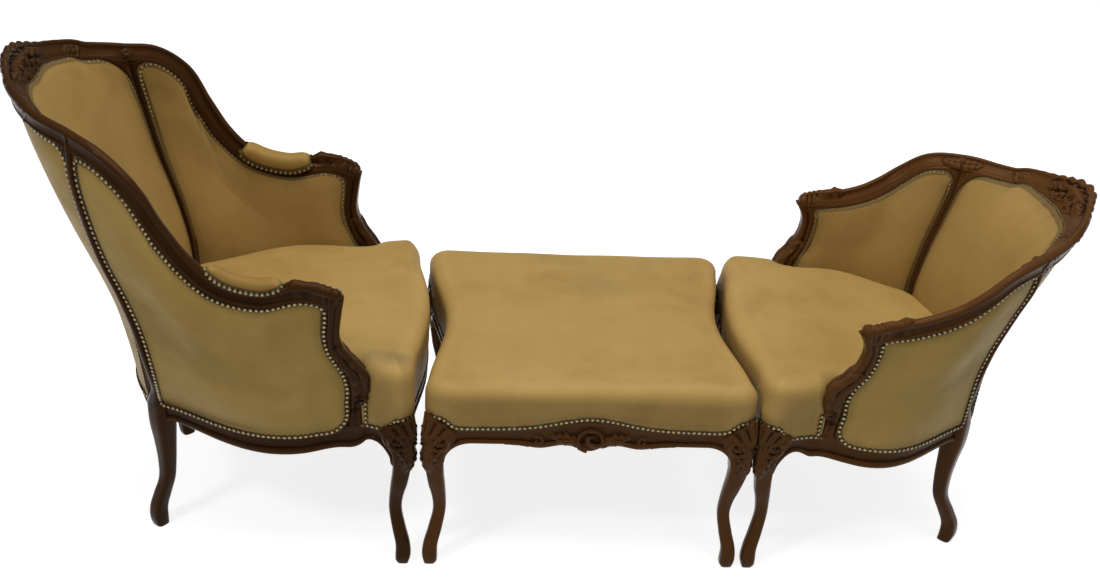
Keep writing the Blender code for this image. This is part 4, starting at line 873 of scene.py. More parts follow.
def upholster(chair, name, opening, side, nails, inner, crown, nodes, wide_cells, rows=30):
    """Leather over one face of an opening, with nails round its edge."""
    s = cosine_spread(wide_cells)
    t = cosine_spread(rows)
    grid_s, grid_t = np.meshgrid(s, t, indexing="ij")
    if inner:
        offset = PAD_EDGE + crown * pad_swell(grid_s, grid_t)
        back = np.full_like(grid_s, -PAD_BACK)
    else:
        offset = panel_offset(grid_s, grid_t, crown)
        back = np.minimum(-PANEL_FACE, offset + 0.0035)
    front_points = opening.surface(grid_s, grid_t, offset)
    back_points = opening.surface(grid_s, grid_t, back)
    widths = (float(np.mean(opening.widths)), float(np.mean(opening.heights)))
    fade = edge_fade(grid_s, grid_t, widths)
    material = MATERIALS["inside leather" if inner else "outside leather"]
    add_leather(chair, name, front_points, back_points, fade, material, nodes, side)
    inset = NAIL_INSET + (0.0006 if inner else 0.0)
    runs = opening.loop(40)
    keep = runs[:3] if inner else runs
    sense = 1.0 if inner else -1.0
    line = []
    bases = []
    for run_s, run_t in keep:
        edge = np.full(len(run_s), PAD_EDGE) if inner else panel_offset(run_s, run_t, 0.0)
        line.append(opening.surface(run_s, run_t, edge, inset))
        bases.append(opening.surface(run_s, run_t, edge - sense * 0.01, inset))
    line = np.vstack(line)
    bases = np.vstack(bases)
    fresh = np.concatenate(([True], np.diff(run_of(line)) > 1e-6))
    normals = unit(line - bases) + np.array((0.0, 0.0, 1e-6))
    nails.add_line(line[fresh] + unit(normals[fresh]) * 0.0012, normals[fresh], side)


def frame_corners(opening, inner):
    """Wooden strips between an opening's leather and the members round it."""
    runs = opening.loop(36)
    rows = []
    sense = 1.0 if inner else -1.0
    edge = PAD_EDGE if inner else PANEL_FACE + PANEL_THICKNESS
    heights = (edge - 0.003, edge + 0.0005, edge + 0.0018, edge + 0.0018, edge - 0.002,
               edge - 0.005)
    shares = (0.0, 0.02, 0.10, 0.26, 0.70, 1.0)
    s = np.concatenate([r[0][:-1] for r in runs])
    t = np.concatenate([r[1][:-1] for r in runs])
    u, v = opening.uv(s, t)
    for share, height in zip(shares, heights):
        here_u = u + (s - u) * share
        here_v = v + (t - v) * share
        rows.append(lift(opening.wall, here_u, here_v, np.full(len(s), sense * height)))
    rows.append(lift(opening.wall, s, t, np.full(len(s), sense * 0.002)))
    rows.append(lift(opening.wall, u, v, np.full(len(s), sense * 0.002)))
    return np.stack(rows, axis=1)


def add_frame_corners(chair, openings, material):
    """All the wooden strips of one chair as one piece."""
    points = []
    faces = []
    total = 0
    for opening, inner, sides in openings:
        ring = frame_corners(opening, inner)
        count, columns = ring.shape[:2]
        for side in sides:
            points.append(chair.place(ring.reshape(-1, 3), side))
            size = count * columns
            faces += [tuple(total + i % size for i in f)
                      for f in grid_faces(count + 1, columns, wrap=True)]
            total += size
    add_piece(f"{chair.name}_frame_fillets", np.vstack(points), faces, material,
              chair.body)


def segment_field(x, y, points, width):
    """A rounded ridge along a chain of points in a plane, 1 on its line."""
    best = np.full(np.broadcast(x, y).shape, 9.0)
    points = np.asarray(points)
    for (ax, ay), (bx, by) in zip(points[:-1], points[1:]):
        dx = bx - ax
        dy = by - ay
        t = np.clip(((x - ax) * dx + (y - ay) * dy) / max(dx * dx + dy * dy, 1e-12), 0, 1)
        best = np.minimum(best, np.hypot(x - ax - t * dx, y - ay - t * dy))
    return np.sqrt(np.maximum(1 - (best / width) ** 2, 0.0))


def spiral(centre, radius, start, turns, count=26, shrink=0.25):
    """Points of a scroll that winds in from a radius."""
    centre = np.array(centre)
    shares = np.linspace(0.0, 1.0, count)
    angle = start + 2 * math.pi * turns * shares
    size = radius * (1 - (1 - shrink) * shares)
    return centre + np.stack((np.cos(angle) * size, np.sin(angle) * size), axis=1)


def leaf_field(x, y, foot, tip, width, lobes, curl=0.0):
    """A lobed leaf with a sunk vein, as a height from 0 to 1."""
    foot = np.array(foot)
    tip = np.array(tip)
    along = tip - foot
    length = np.linalg.norm(along)
    along = along / length
    across = np.array((-along[1], along[0]))
    s = ((x - foot[0]) * along[0] + (y - foot[1]) * along[1]) / length
    t = (x - foot[0]) * across[0] + (y - foot[1]) * across[1]
    inside = np.clip(s, 0.0, 1.0)
    t = t - curl * length * inside * inside
    wave = 1 + 0.22 * np.cos(2 * math.pi * lobes * (inside - 0.15 * np.abs(t) / width))
    edge = width * np.sin(math.pi * inside**0.75) ** 0.7 * wave + 1e-5
    within = np.clip(1 - (np.abs(t) / edge) ** 2, 0.0, 1.0) * ((s > 0) & (s < 1))
    vein = 1 - 0.45 * np.exp(-(t / (0.12 * width)) ** 2)
    ribs = 1 - 0.28 * (0.5 + 0.5 * np.cos(2 * math.pi * lobes * (inside - 0.5 * np.abs(t)
                                                                / width)))
    return np.sqrt(within) * vein * ribs


def leaves(x, y, table):
    """Some leaves: height, foot, tip, width, lobes and curl of each."""
    return sum(high * leaf_field(x, y, *leaf) for high, *leaf in table)


def ridges(x, y, table):
    """Some ridges: height, points and width of each."""
    return sum(high * segment_field(x, y, points, width) for high, points, width in table)


KNEE_LEAVES = ((0.0050, (0.008, 0.004), (0.010, 0.100), 0.020, 4.0, 0.0),
               (0.0030, (0.026, 0.046), (0.022, 0.108), 0.011, 3.0, 0.2))
KNEE_RIDGES = ((0.0048, spiral((0.036, 0.024), 0.021, 2.4, -1.3), 0.0042),
               (0.0030, ((0.060, 0.000), (0.052, 0.010), (0.050, 0.024), (0.042, 0.040),
                         (0.026, 0.056), (0.012, 0.078)), 0.0036))


def knee_relief(x, z):
    """Carving of a knee on one face: x from its outer corner inwards, z from its top down."""
    heart = np.exp(-((x - 0.032) / 0.008) ** 2 - ((z - 0.020) / 0.010) ** 2)
    ribs = np.cos(2 * math.pi * (x + 0.35 * z) / 0.0105) * smooth_step(0.046, 0.030, z)
    return (leaves(x, z, KNEE_LEAVES) + ridges(x, z, KNEE_RIDGES) + 0.0030 * heart
            + 0.0014 * ribs - 0.0024)


def leg_member(front, outer, turn):
    """A cabriole leg whose knee's outer corner is at (front, outer)."""
    curve = Curve([(SEAT_RAIL_TOP * h, LEG_SWING * back, KNEE_BLOCK_WIDTH * w / 2)
                   for h, back, w in FRONT_LEG_SHARES])
    values = resample(curve.share(np.linspace(0, 1, 400)), 130)
    top = SEAT_RAIL_TOP + 0.004
    heights = values[:, 0] * top / SEAT_RAIL_TOP
    setback = values[:, 1]
    half = values[:, 2]
    half = half * (1 - 0.16 * smooth_step(0.008, 0.0, heights))
    inset = setback + half
    centres = np.stack((front + turn * inset, outer - inset, heights), axis=1)
    wide = np.tile(np.array((-turn, 0.0, 0.0)), (len(heights), 1))
    deep = np.tile(np.array((0.0, 1.0, 0.0)), (len(heights), 1))
    square = soft_box(64, 4.5)
    round_leg = soft_box(64, 2.6)
    share = smooth_step(0.20, 0.30, heights) + 0.6 * smooth_step(0.05, 0.0, heights)
    member = Member(centres, wide, deep, half, half,
                    blend_profiles(round_leg, square, share))
    drop = top - heights[:, None]
    from_corner_a = half[:, None] - member.a
    from_corner_b = half[:, None] - member.b
    face_a = smooth_step(0.80, 0.97, member.a / half[:, None])
    face_b = smooth_step(0.80, 0.97, member.b / half[:, None])
    fade = smooth_step(0.150, 0.110, drop)
    relief = (knee_relief(from_corner_b, drop) * face_a
              + knee_relief(from_corner_a, drop) * face_b) / np.maximum(face_a + face_b, 1.0)
    ridge = bump(member.a / half[:, None], 0.86, 0.10) * bump(member.b / half[:, None],
                                                             0.86, 0.10)
    lower = smooth_step(0.12, 0.16, drop)
    member.raise_by(relief * fade + 0.0012 * ridge * lower)
    return member


def press_back(points, face, outward):
    """Presses the carving past a knee's face into the room before the next section."""
    past = (points[:, 0] - face) * outward
    pressed = np.where(past > 0.0, KNEE_ROOM * np.tanh(past / KNEE_ROOM), past)
    points[:, 0] = face + outward * pressed


def knee_leaf(front, outer, turn, height):
    """The carved tongue that laps over the seat's corner above a knee."""
    q, s = np.meshgrid(np.linspace(0.0, 1.0, LEAF_ROWS), np.linspace(-1.0, 1.0, LEAF_COLUMNS),
                       indexing="ij")
    far = np.abs(s)
    d = KNEE_BLOCK_WIDTH * 0.94 * s
    crest = height * (1 - far**1.6) + 0.002 + 0.0022 * np.cos(2 * math.pi * 3.5 * far)
    z = SEAT_RAIL_TOP - 0.010 + (crest + 0.010) * q
    corner = 0.006 * (1 - np.minimum(np.abs(d) / 0.010, 1.0)) ** 2
    vein = (np.cos(2 * math.pi * (3.2 * far - 0.7 * q)) * np.minimum(4 * q, 1.0)
            + 1.2 * np.exp(-(far / 0.07) ** 2))
    faces = []
    for out in (0.0010 + 0.0019 * vein * (1 - far**6) + 0.00095 * (1 - q * q * 0.55),
                -0.0081):
        move = 0.004 * q - out
        faces.append(np.stack((front + turn * (corner + np.maximum(d, 0.0) + move),
                               outer - (corner + np.maximum(-d, 0.0) + move), z), axis=-1))
    return closed_sheet(*faces)


def add_leg(section, node, corner, turn, leaf_height, mirror, pressed, material):
    """A front leg with the leaf over its knee, pressed back where a section stands close."""
    member = leg_member(*corner, turn)
    points, faces = closed_tube(member.points())
    leaf, leaf_faces = knee_leaf(*corner, turn, leaf_height)
    uv = np.vstack((member.uv().reshape(-1, 2), np.zeros((2 + len(leaf), 2))))
    faces += [tuple(i + len(points) for i in f) for f in leaf_faces]
    points = np.vstack((points, leaf))
    if pressed:
        press_back(points, corner[0], -turn)
    add_piece(f"{node}_carved", section.place(points * np.array(mirror + (1.0,))), faces,
              material, section.body, (node,), uv)


def level_top(s, places):
    """A rail's level upper edge."""
    return SEAT_RAIL_TOP + 0 * s


def stool_rail_top(s, places):
    """The upper edge of the stool's long rails."""
    return SEAT_RAIL_TOP - 0.003 + STOOL_RAIL_LIFT + shell_rise(places[:, 0])


def rail_member(line, count, lower, upper=level_top, relief=None, fillets=RAIL_FILLETS):
    """A seat rail along a plan line, with a moulded lower edge that curves into its legs."""
    s = np.linspace(0.0, 1.0, count)
    here = line(s)
    step = 0.5 / count
    ahead = line(np.clip(s + step, 0, 1)) - line(np.clip(s - step, 0, 1))
    along = unit(np.concatenate((ahead[:, :2], np.zeros((count, 1))), axis=1))
    out = np.stack((-along[:, 1], along[:, 0], np.zeros(count)), axis=1)
    run = run_of(here)
    low = SEAT_RAIL_TOP - SEAT_RAIL_HEIGHT + lower(s)
    for ends, reach, drop in zip((run, run[-1] - run), fillets[::2], fillets[1::2]):
        near = np.clip((reach - ends) / (reach - 0.012), 0.0, 1.0)
        low = low - drop * (1 - np.sqrt(1 - near**2))
    high = upper(s, here)
    centres = np.stack((here[:, 0], here[:, 1], (low + high) / 2), axis=1)
    up = np.tile(np.array((0.0, 0.0, 1.0)), (count, 1))
    half = SEAT_RAIL_THICKNESS / 2
    member = Member(centres, up, out, (high - low) / 2, half, SEAT_RAIL_PROFILE)
    if relief is not None:
        face = smooth_step(0.6, 0.85, member.b / half)
        member.raise_by(relief(here[:, :1], centres[:, 2:3] + member.a) * face)
    return member


def scallop(s):
    """Rise of a rail's lower edge: high near the legs, with a drop in the middle."""
    hollow = 1 - np.abs(2 * s - 1) ** 6
    drop = np.exp(-((s - 0.5) / 0.16) ** 2)
    return RAIL_ARCH_RISE * (hollow - 0.55 * drop)


def back_scallop(s):
    """Rise of a back rail's lower edge: one arch."""
    return RAIL_ARCH_RISE * np.sin(math.pi * s)


def stool_scallop(s):
    """Rise of the stool's long rails: lobed below the shell and on both sides of it."""
    x = (s - 0.5) * (STOOL_LENGTH - KNEE_BLOCK_WIDTH)
    return (0.009 + RAIL_ARCH_RISE - 0.016 * bump(x, 0.0, 0.026)
            - 0.009 * bump(np.abs(x), 0.105, 0.034))


def side_scallop(s):
    """Rise of a side rail's lower edge: low in its middle, with a drop by the arm post."""
    front = np.exp(-((s - 0.1) / 0.06) ** 2)
    drop = np.exp(-((s - 0.2) / 0.04) ** 2)
    sag = np.sin(math.pi * np.maximum(s - 0.1, 0.0) / 0.9) ** 2
    return 0.7 * RAIL_ARCH_RISE * front - SIDE_RAIL_DROP * drop - SIDE_RAIL_SAG * sag


def shell_rise(x):
    """Rise of the stool's long rails towards the carved shell in their middle."""
    return 0.001 + STOOL_SHELL_RISE * np.exp(-(2 * x / STOOL_SHELL_WIDTH) ** 2)


SHELL_RIDGES = ((0.0062, spiral((0.0, -0.006), 0.023, 4.35, -0.74, 24, 0.96), 0.0036),
                (0.0056, ((0.006, 0.003), (-0.004, 0.002), (-0.006, -0.006),
                          (0.001, -0.012), (0.008, -0.016)), 0.0046))
SHELL_SIDE_LEAVES = ((0.0052, (0.024, -0.004), (0.074, 0.000), 0.012, 3.5, 0.06),
                     (0.0046, (0.020, -0.018), (0.062, -0.030), 0.009, 3.0, -0.1),
                     (0.0022, (0.112, -0.018), (0.158, -0.014), 0.007, 3.0, 0.0))
SHELL_SIDE_RIDGES = ((0.0030, spiral((0.096, -0.008), 0.010, 1.2, 0.9), 0.0034),)


def shell_relief(x, z):
    """The stool's carved shell with leaves on both sides."""
    x = x / SHELL_SCALE
    y = (z - SHELL_CENTRE) / SHELL_SCALE
    dish = smooth_step(0.022, 0.016, np.hypot(x, y + 0.006))
    total = (ridges(x, y, SHELL_RIDGES) - 0.0022 * dish
             - 0.0016 * bump(np.abs(x), 0.0, 0.115))
    for sense in (-1, 1):
        total = (total + leaves(sense * x, y, SHELL_SIDE_LEAVES)
                 + ridges(sense * x, y, SHELL_SIDE_RIDGES))
    return total


def crest_line(chair, distance):
    """The crest's rise and its reach over the leather, at distances from its middle."""
    table = np.array(chair.crest_table)
    total = 0.0
    for move in (-0.004, 0.0, 0.004):
        far = np.abs(distance + move)
        total = total + np.stack((np.interp(far, table[:, 0], table[:, 1]),
                                  np.interp(far, table[:, 0], table[:, 2])))
    return total / 3


CREST_RIDGES = ((0.0052, spiral((0.036, 0.006), 0.017, 2.4, -1.15), 0.0046),
                (0.0052, spiral((0.030, -0.020), 0.012, -2.2, 1.0), 0.0046))
CREST_LEAVES = ((0.0046, (0.046, 0.012), (0.074, 0.020), 0.012, 3.0, 0.2),
                (0.0046, (0.050, 0.000), (0.100, -0.006), 0.012, 4.0, 0.05),
                (0.0046, (0.014, 0.020), (0.044, 0.030), 0.010, 3.0, -0.1),
                (0.0046, (0.006, -0.022), (0.016, -0.040), 0.009, 2.5, 0.0),
                (0.0046, (0.036, -0.028), (0.066, -0.020), 0.009, 3.0, 0.1))
SHOULDER_LEAVES = ((0.0026, (-0.002, 0.012), (0.036, 0.010), 0.010, 3.0, 0.0),)


def crest_relief(chair, member, distances, top, reach):
    """Carving on the crest: its cartouche, the shoulders and the end leaves."""
    x = rows_of(distances - chair.centre, member.a)
    far = np.abs(x)
    middle = len(distances) // 2
    y = member.a - (top[middle] - reach[middle]) / 2
    wide = smooth_step(CREST_LEAF_WIDTH * 0.72, CREST_LEAF_WIDTH * 0.52, far)
    flutes = 0.5 + 0.5 * np.cos(np.arctan2(x, y + 0.012) * 12)
    fan = np.hypot(x, y + 0.012)
    crown = smooth_step(0.046, 0.040, fan) * smooth_step(0.016, 0.021, fan)
    crown = crown * smooth_step(-0.004, 0.006, y) * smooth_step(0.030, 0.020, far)
    stone = 1 - (x / 0.010) ** 2 - ((y + 0.003) / 0.013) ** 2
    rim = np.hypot(x / 0.015, (y + 0.003) / 0.018) - 1
    cartouche = (0.0052 * crown * (0.25 + 0.75 * flutes)
                 + 0.0058 * np.sqrt(np.maximum(stone, 0.0))
                 + 0.0034 * np.exp(-(rim / 0.16) ** 2) + ridges(far, y, CREST_RIDGES)
                 + leaves(far, y, CREST_LEAVES) - 0.0022)
    step = np.array(chair.crest_table)[6, 0] + 0.008
    level = member.a / top[:, None]
    shoulder = 0.0030 * bump(far - step - 0.010 * (level - 0.5), 0.0, 0.0045)
    half = chair.centre - chair.join
    return (1.25 * wide * cartouche + shoulder
            + leaves(step - far, member.a, SHOULDER_LEAVES)
            + junction_relief(half - far - chair.junction, member.a))


JUNCTION_LEAVES = ((0.0046, (-0.014, 0.000), (0.048, 0.007), 0.015, 4.0, 0.0),
                   (0.0036, (-0.006, -0.002), (-0.040, -0.012), 0.009, 3.0, 0.0))
JUNCTION_RIDGES = ((0.0040, spiral((-0.010, 0.004), 0.012, 1.0, -0.8), 0.0040),)


def junction_relief(x, y):
    """Leaves and a scroll where the back upright meets the top rail."""
    return leaves(x, y, JUNCTION_LEAVES) + ridges(x, y, JUNCTION_RIDGES)


def top_member(chair, first, last, count):
    """The crest between two distances, with its carving and its steps."""
    distances = np.linspace(first, last, count)
    here, up, inward, _ = chair.top_frames(distances)
    off = distances - chair.centre
    rise, reach = crest_line(chair, off)
    lumps = 0.0030 * np.cos(2 * math.pi * off / 0.0235) * bump(off, 0.0, 0.056) ** 0.5
    top = TOP_RAIL_WIDTH / 2 + rise + lumps
    low = np.maximum(TOP_RAIL_WIDTH / 2, reach + 0.008)
    member = Member(here, up, inward, 1.0, TOP_RAIL_THICKNESS / 2, RAIL_PROFILE)
    share = member.a
    bead = -(reach + 0.0005)[:, None]
    inner = np.where(share > -0.18, bead + (share + 0.18) / 1.18 * (top[:, None] - bead),
                     bead + (-0.18 - share) / 0.82 * (-low[:, None] - bead))
    outer = np.where(share > 0, share * top[:, None], share * low[:, None])
    side = smooth_step(-0.45, 0.0, member.b / (TOP_RAIL_THICKNESS / 2))
    member.a = outer + (inner - outer) * side
    plain = smooth_step(CREST_LEAF_WIDTH * 0.66, CREST_LEAF_WIDTH * 0.46,
                        np.abs(off))[:, None]
    front = smooth_step(-0.10, 0.10, member.b / (TOP_RAIL_THICKNESS / 2))
    back = smooth_step(-0.60, -0.76, member.b / (TOP_RAIL_THICKNESS / 2))
    flat = TOP_RAIL_THICKNESS / 2 * 0.80
    member.b = member.b + (flat - member.b) * plain * front * 0.85
    member.b = member.b + (-flat - member.b) * plain * back * 0.60
    relief = crest_relief(chair, member, distances, top, reach)
    member.raise_by(relief * np.maximum(front, 0.5 * back))
    return member


def arm_member(chair):
    """An arm rail from its rounded hand to the back upright."""
    turns = np.linspace(math.pi / 2 * 0.97, 0.0, 12)[:-1]
    run = np.linspace(0.0, chair.join, 150)
    distances = np.concatenate((np.zeros(len(turns)), run))
    here, up, inward, along = chair.top_frames(distances)
    push = np.concatenate((HAND_LENGTH * np.sin(turns), np.zeros(len(run))))
    size = np.concatenate((np.cos(turns) ** 0.6, np.ones(len(run))))
    size = np.maximum(size, 0.18)
    x = distances - push
    centres = here - along * push[:, None]
    swell = 0.0020 * bump(x, 0.028, 0.016) + 0.0030 * bump(x, 0.070, 0.010)
    half_up = (TOP_RAIL_WIDTH / 2 + swell) * size
    half_deep = (TOP_RAIL_THICKNESS / 2 + swell * 0.6) * size
    rounded = soft_box(len(RAIL_PROFILE), 2.6)
    order = rail_start(rounded)
    share = 0.75 * smooth_step(-0.012, 0.012, x) + 0.25 * smooth_step(0.030, 0.060, x)
    member = Member(centres, up, inward, half_up, half_deep,
                    blend_profiles(order, RAIL_PROFILE, share))
    scroll = 0.0
    xs = rows_of(x, member.a)
    for place in (-0.004, 0.007, 0.018):
        scroll = scroll + 0.0026 * np.exp(-((xs - place - 0.25 * member.a) / 0.0028) ** 2)
    leaf = 0.0034 * leaf_field(xs, member.b, (0.030, -0.004), (0.094, -0.006), 0.017, 3.5)
    top = smooth_step(0.2, 0.7, member.a / (TOP_RAIL_WIDTH / 2))
    knot = 0.0030 * np.exp(-((xs - 0.074) / 0.006) ** 2) * top
    inner = smooth_step(-0.10, 0.15, member.b / (TOP_RAIL_THICKNESS / 2))
    junction = junction_relief(chair.join - xs - chair.junction, member.a) * inner
    member.raise_by(scroll * smooth_step(0.034, 0.022, xs) + (leaf + knot) * top + junction)
    return member


def rail_start(profile):
    """A profile turned so that it starts at the crown, as the rail's own does."""
    first = int(np.argmin(np.linalg.norm(profile - RAIL_PROFILE[0], axis=1)))
    turned = np.roll(profile, -first, axis=0)
    turns_up = turned[1, 1] > turned[0, 1]
    rail_up = RAIL_PROFILE[1, 1] > RAIL_PROFILE[0, 1]
    if turns_up != rail_up:
        turned = np.roll(turned[::-1], 1, axis=0)
    return turned


def post_member(chair):
    """An arm post, with a carved leaf over its bulge."""
    v = np.linspace(0.0, 1.0, 110)
    centres = chair.post.share(v)
    ahead = chair.side_wall(np.full_like(v, 0.08), v) - chair.side_wall(np.zeros_like(v), v)
    ahead[:, 2] = 0.0
    wide = unit(ahead)
    deep = np.stack((wide[:, 1], -wide[:, 0], np.zeros_like(v)), axis=1)
    half = chair.post_half_width(v)
    centres = centres - wide * (half * (1 - POST_SLIMNESS))[:, None]
    half = half * POST_SLIMNESS
    drop = v * chair.post.knots[-1]
    half = half + 0.003 * bump(drop, 0.0, 0.020)
    centres[0, 2] -= 0.004
    member = Member(centres, wide, deep, half, ARM_POST_THICKNESS / 2,
                    UPRIGHT_PROFILE)
    z = rows_of(drop, member.a)
    bulge = chair.post.knots[-1] * 0.34
    outer = smooth_step(0.2, 0.5, np.abs(member.b) / (ARM_POST_THICKNESS / 2))
    leaf = 0.0062 * leaf_field(member.a, z, (-0.004, bulge * 1.95), (-0.008, bulge * 0.42),
                               0.024, 4.5)
    curl = 0.0056 * segment_field(member.a, z, spiral((-0.008, bulge * 0.62), 0.010, 0.6,
                                                      -0.9), 0.0038)
    neck = 0.0030 * bump(z, bulge * 0.36, 0.006)
    member.raise_by((leaf + curl - neck) * (0.3 + 0.7 * outer))
    return member


def rear_member(chair):
    """A rear leg and the back upright above it, in one."""
    foot = chair.stile.share(0.0)
    ahead = (chair.back_wall(np.array(0.08), np.array(0.1))
             - chair.side_wall(np.array(0.92), np.array(0.1)))
    ahead[2] = 0.0
    low_wide = unit(ahead)
    leg = Curve([(foot[0] + chair.kick * kick, foot[1] - REAR_ANKLE_INSET * inset,
                  SEAT_RAIL_TOP * height, REAR_BLOCK_WIDTH * width / 2)
                 for height, kick, inset, width in REAR_LEG_SHARES])
    low = resample(leg.share(np.linspace(0, 1, 300)), 90)
    v = np.linspace(0.04, 1.0, 110)
    high = chair.stile.share(v)
    high = high[high[:, 2] > low[-1, 2] + 0.004]
    v = v[-len(high):]
    turn = chair.back_wall(np.full_like(v, 0.05), v) - chair.side_wall(
        np.full_like(v, 0.95), v)
    turn[:, 2] = 0.0
    wide_high = unit(turn)
    centres = np.vstack((low[:, :3], high))
    wide = np.vstack((np.tile(low_wide, (len(low), 1)), wide_high))
    z = centres[:, 2]
    half = np.concatenate((low[:, 3], np.full(len(high), STILE_HALF_WIDTH)))
    thick = np.concatenate((low[:, 3], np.full(len(high), STILE_THICKNESS / 2)))
    blend = smooth_step(SEAT_RAIL_TOP - 0.02, SEAT_RAIL_TOP + 0.04, z)
    half = low[-1, 3] + (half - low[-1, 3]) * np.where(z > low[-1, 2], blend, 1.0)
    half = np.where(z > low[-1, 2], half, np.concatenate((low[:, 3], half[len(low):])))
    thick = np.where(z > low[-1, 2], low[-1, 3] + (STILE_THICKNESS / 2 - low[-1, 3]) * blend,
                     np.concatenate((low[:, 3], thick[len(low):])))
    deep = np.stack((wide[:, 1], -wide[:, 0], np.zeros(len(wide))), axis=1)
    share = smooth_step(SEAT_RAIL_TOP - 0.01, SEAT_RAIL_TOP + 0.08, z)
    block = soft_box(48, 3.4)
    return Member(centres, wide, deep, half, thick,
                  blend_profiles(match_start(block), STILE_PROFILE, share))


def match_start(profile):
    """A profile turned to start at its first edge and run as the upright's own does."""
    first = int(np.argmax(profile[:, 0]))
    turned = np.roll(profile, -first, axis=0)
    if (turned[1, 1] > 0) != (UPRIGHT_PROFILE[1, 1] > 0):
        turned = np.roll(turned[::-1], 1, axis=0)
    return turned


def outward(outline):
    """Level outward directions along a closed plan outline."""
    ahead = np.roll(outline, -1, axis=0) - np.roll(outline, 1, axis=0)
    turn = np.sum(np.roll(outline, 1, axis=0)[:, 0] * outline[:, 1]
                  - outline[:, 0] * np.roll(outline, 1, axis=0)[:, 1])
    return unit(np.stack((ahead[:, 1], -ahead[:, 0]), axis=1)) * np.sign(turn)


def seat_bulge(share):
    """How far a seat's wall stands out at a share of its height."""
    return SEAT_EDGE_BULGE * np.sin(math.pi / 2 * np.clip(share, 0.0, 1.0) ** 0.7)


def seat_rows(outline, directions, foot, height, lean):
    """Rows of points from a seat's foot over its rounded edge; lean moves them outwards."""
    high = SEAT_RAIL_TOP + height
    wall = high - SEAT_ROUNDING_DEPTH - foot
    rows = []
    for k in np.linspace(0.0, 1.0, SEAT_WALL_ROWS + 1):
        pull = 0.0008 * np.sin(np.arange(len(outline)) * 1.9) * (1 - k) ** 3 * min(k * 12, 1)
        move = seat_bulge(k) - SEAT_SKIRT_INSET + pull + lean * k
        rows.append(np.concatenate((outline + directions * (move + 0 * foot)[:, None],
                                    (foot + wall * k)[:, None]), axis=1))
    for turn in np.linspace(0.0, math.pi / 2, SEAT_ROUND_ROWS + 1)[1:]:
        move = (SEAT_EDGE_BULGE * math.cos(turn) - SEAT_SKIRT_INSET
                - SEAT_EDGE_ROUNDING * (1 - math.cos(turn))) + lean
        rows.append(np.concatenate((outline + directions * move[:, None],
                                    (high - SEAT_ROUNDING_DEPTH * (1 - math.sin(turn))
                                     )[:, None]), axis=1))
    return rows


def soft_directions(outline, passes=5):
    """Outward directions that turn gently, so that inner rows don't cross."""
    directions = outward(outline)
    for _ in range(passes):
        directions = unit(np.roll(directions, 1, axis=0) + 2 * directions
                          + np.roll(directions, -1, axis=0))
    return directions


def relax(points, faces, weight, passes):
    """Draw points towards their neighbours' middle by a weight."""
    pairs = {(min(a, b), max(a, b)) for face in faces
             for a, b in zip(face, face[1:] + face[:1])}
    mean = mean_of_neighbours(np.array(sorted(pairs)), len(points))
    for _ in range(passes):
        points = points + weight[:, None] * (mean(points) - points)
    return points


def around(grid):
    """The middle of the four neighbours of each inner point of a grid."""
    return (grid[:-2, 1:-1] + grid[2:, 1:-1] + grid[1:-1, :-2] + grid[1:-1, 2:]) / 4


def crowned_top(rim, crown):
    """Points of a seat's top, drawn tight inside the four runs of its rim and crowned."""
    cells = SEAT_CELLS
    sides = [rim[k * cells:(k + 1) * cells + 1] if k < 3
             else np.vstack((rim[3 * cells:], rim[:1])) for k in range(4)]
    s = np.linspace(0.0, 1.0, cells + 1)
    a, b = np.meshgrid(s, s, indexing="ij")
    a = a[..., None]
    b = b[..., None]
    low = sides[0][:, None]
    high = sides[2][::-1][:, None]
    right = sides[1][None]
    left = sides[3][::-1][None]
    top = ((1 - b) * low + b * high + (1 - a) * left + a * right
           - (1 - a) * (1 - b) * sides[0][0] - a * (1 - b) * sides[0][-1]
           - (1 - a) * b * sides[2][-1] - a * b * sides[2][0])
    dome = np.zeros(top.shape[:2])
    for _ in range(SEAT_FILL_PASSES):
        dome[1:-1, 1:-1] = around(dome) + 0.001
        top[1:-1, 1:-1] = around(top)
    top[..., 2] += crown * dome / dome.max()
    return top


def top_index(last, count, start):
    """Numbers of a seat's top points: the last row is its rim, the inner ones follow it."""
    cells = SEAT_CELLS
    index = np.zeros((cells + 1, cells + 1), dtype=int)
    index[1:-1, 1:-1] = start + np.arange((cells - 1) ** 2).reshape(cells - 1, cells - 1)
    for i in range(cells + 1):
        index[i, 0] = last + i
        index[cells, i] = last + cells + i
        index[cells - i, cells] = last + 2 * cells + i
        index[0, cells - i] = last + (3 * cells + i) % count
    return index.tolist()


def draw_down(points, faces, rise, step):
    """Draw a seat down beside the arm posts, and round it at its front corners."""
    beside = bump(points[:, 0], step + 0.014, 0.046) * bump(np.abs(points[:, 1]),
                                                            0.27, 0.050)
    corner = bump(points[:, 0], 0.020, 0.050) * bump(np.abs(points[:, 1]), 0.30, 0.055)
    weight = smooth_step(0.45, 0.80, rise) * np.maximum(0.8 * beside, 0.7 * corner)
    full = points[:, 2].copy()
    points = relax(points, faces, 0.7 * weight, 36)
    points[:, 2] += 0.6 * (full - points[:, 2]) * beside
    return points


def soft_waves(points, rise, phase):
    """Heights of the shallow waves over a seat's top."""
    x = points[:, 0]
    y = points[:, 1]
    return 0.0011 * smooth_step(0.75, 1.0, rise) * (np.sin(9 * x + 4 * y + phase)
                                                    + np.sin(13 * y - 7 * x + 2 * phase)
                                                    + 0.5 * np.sin(31 * x + 17 * y))


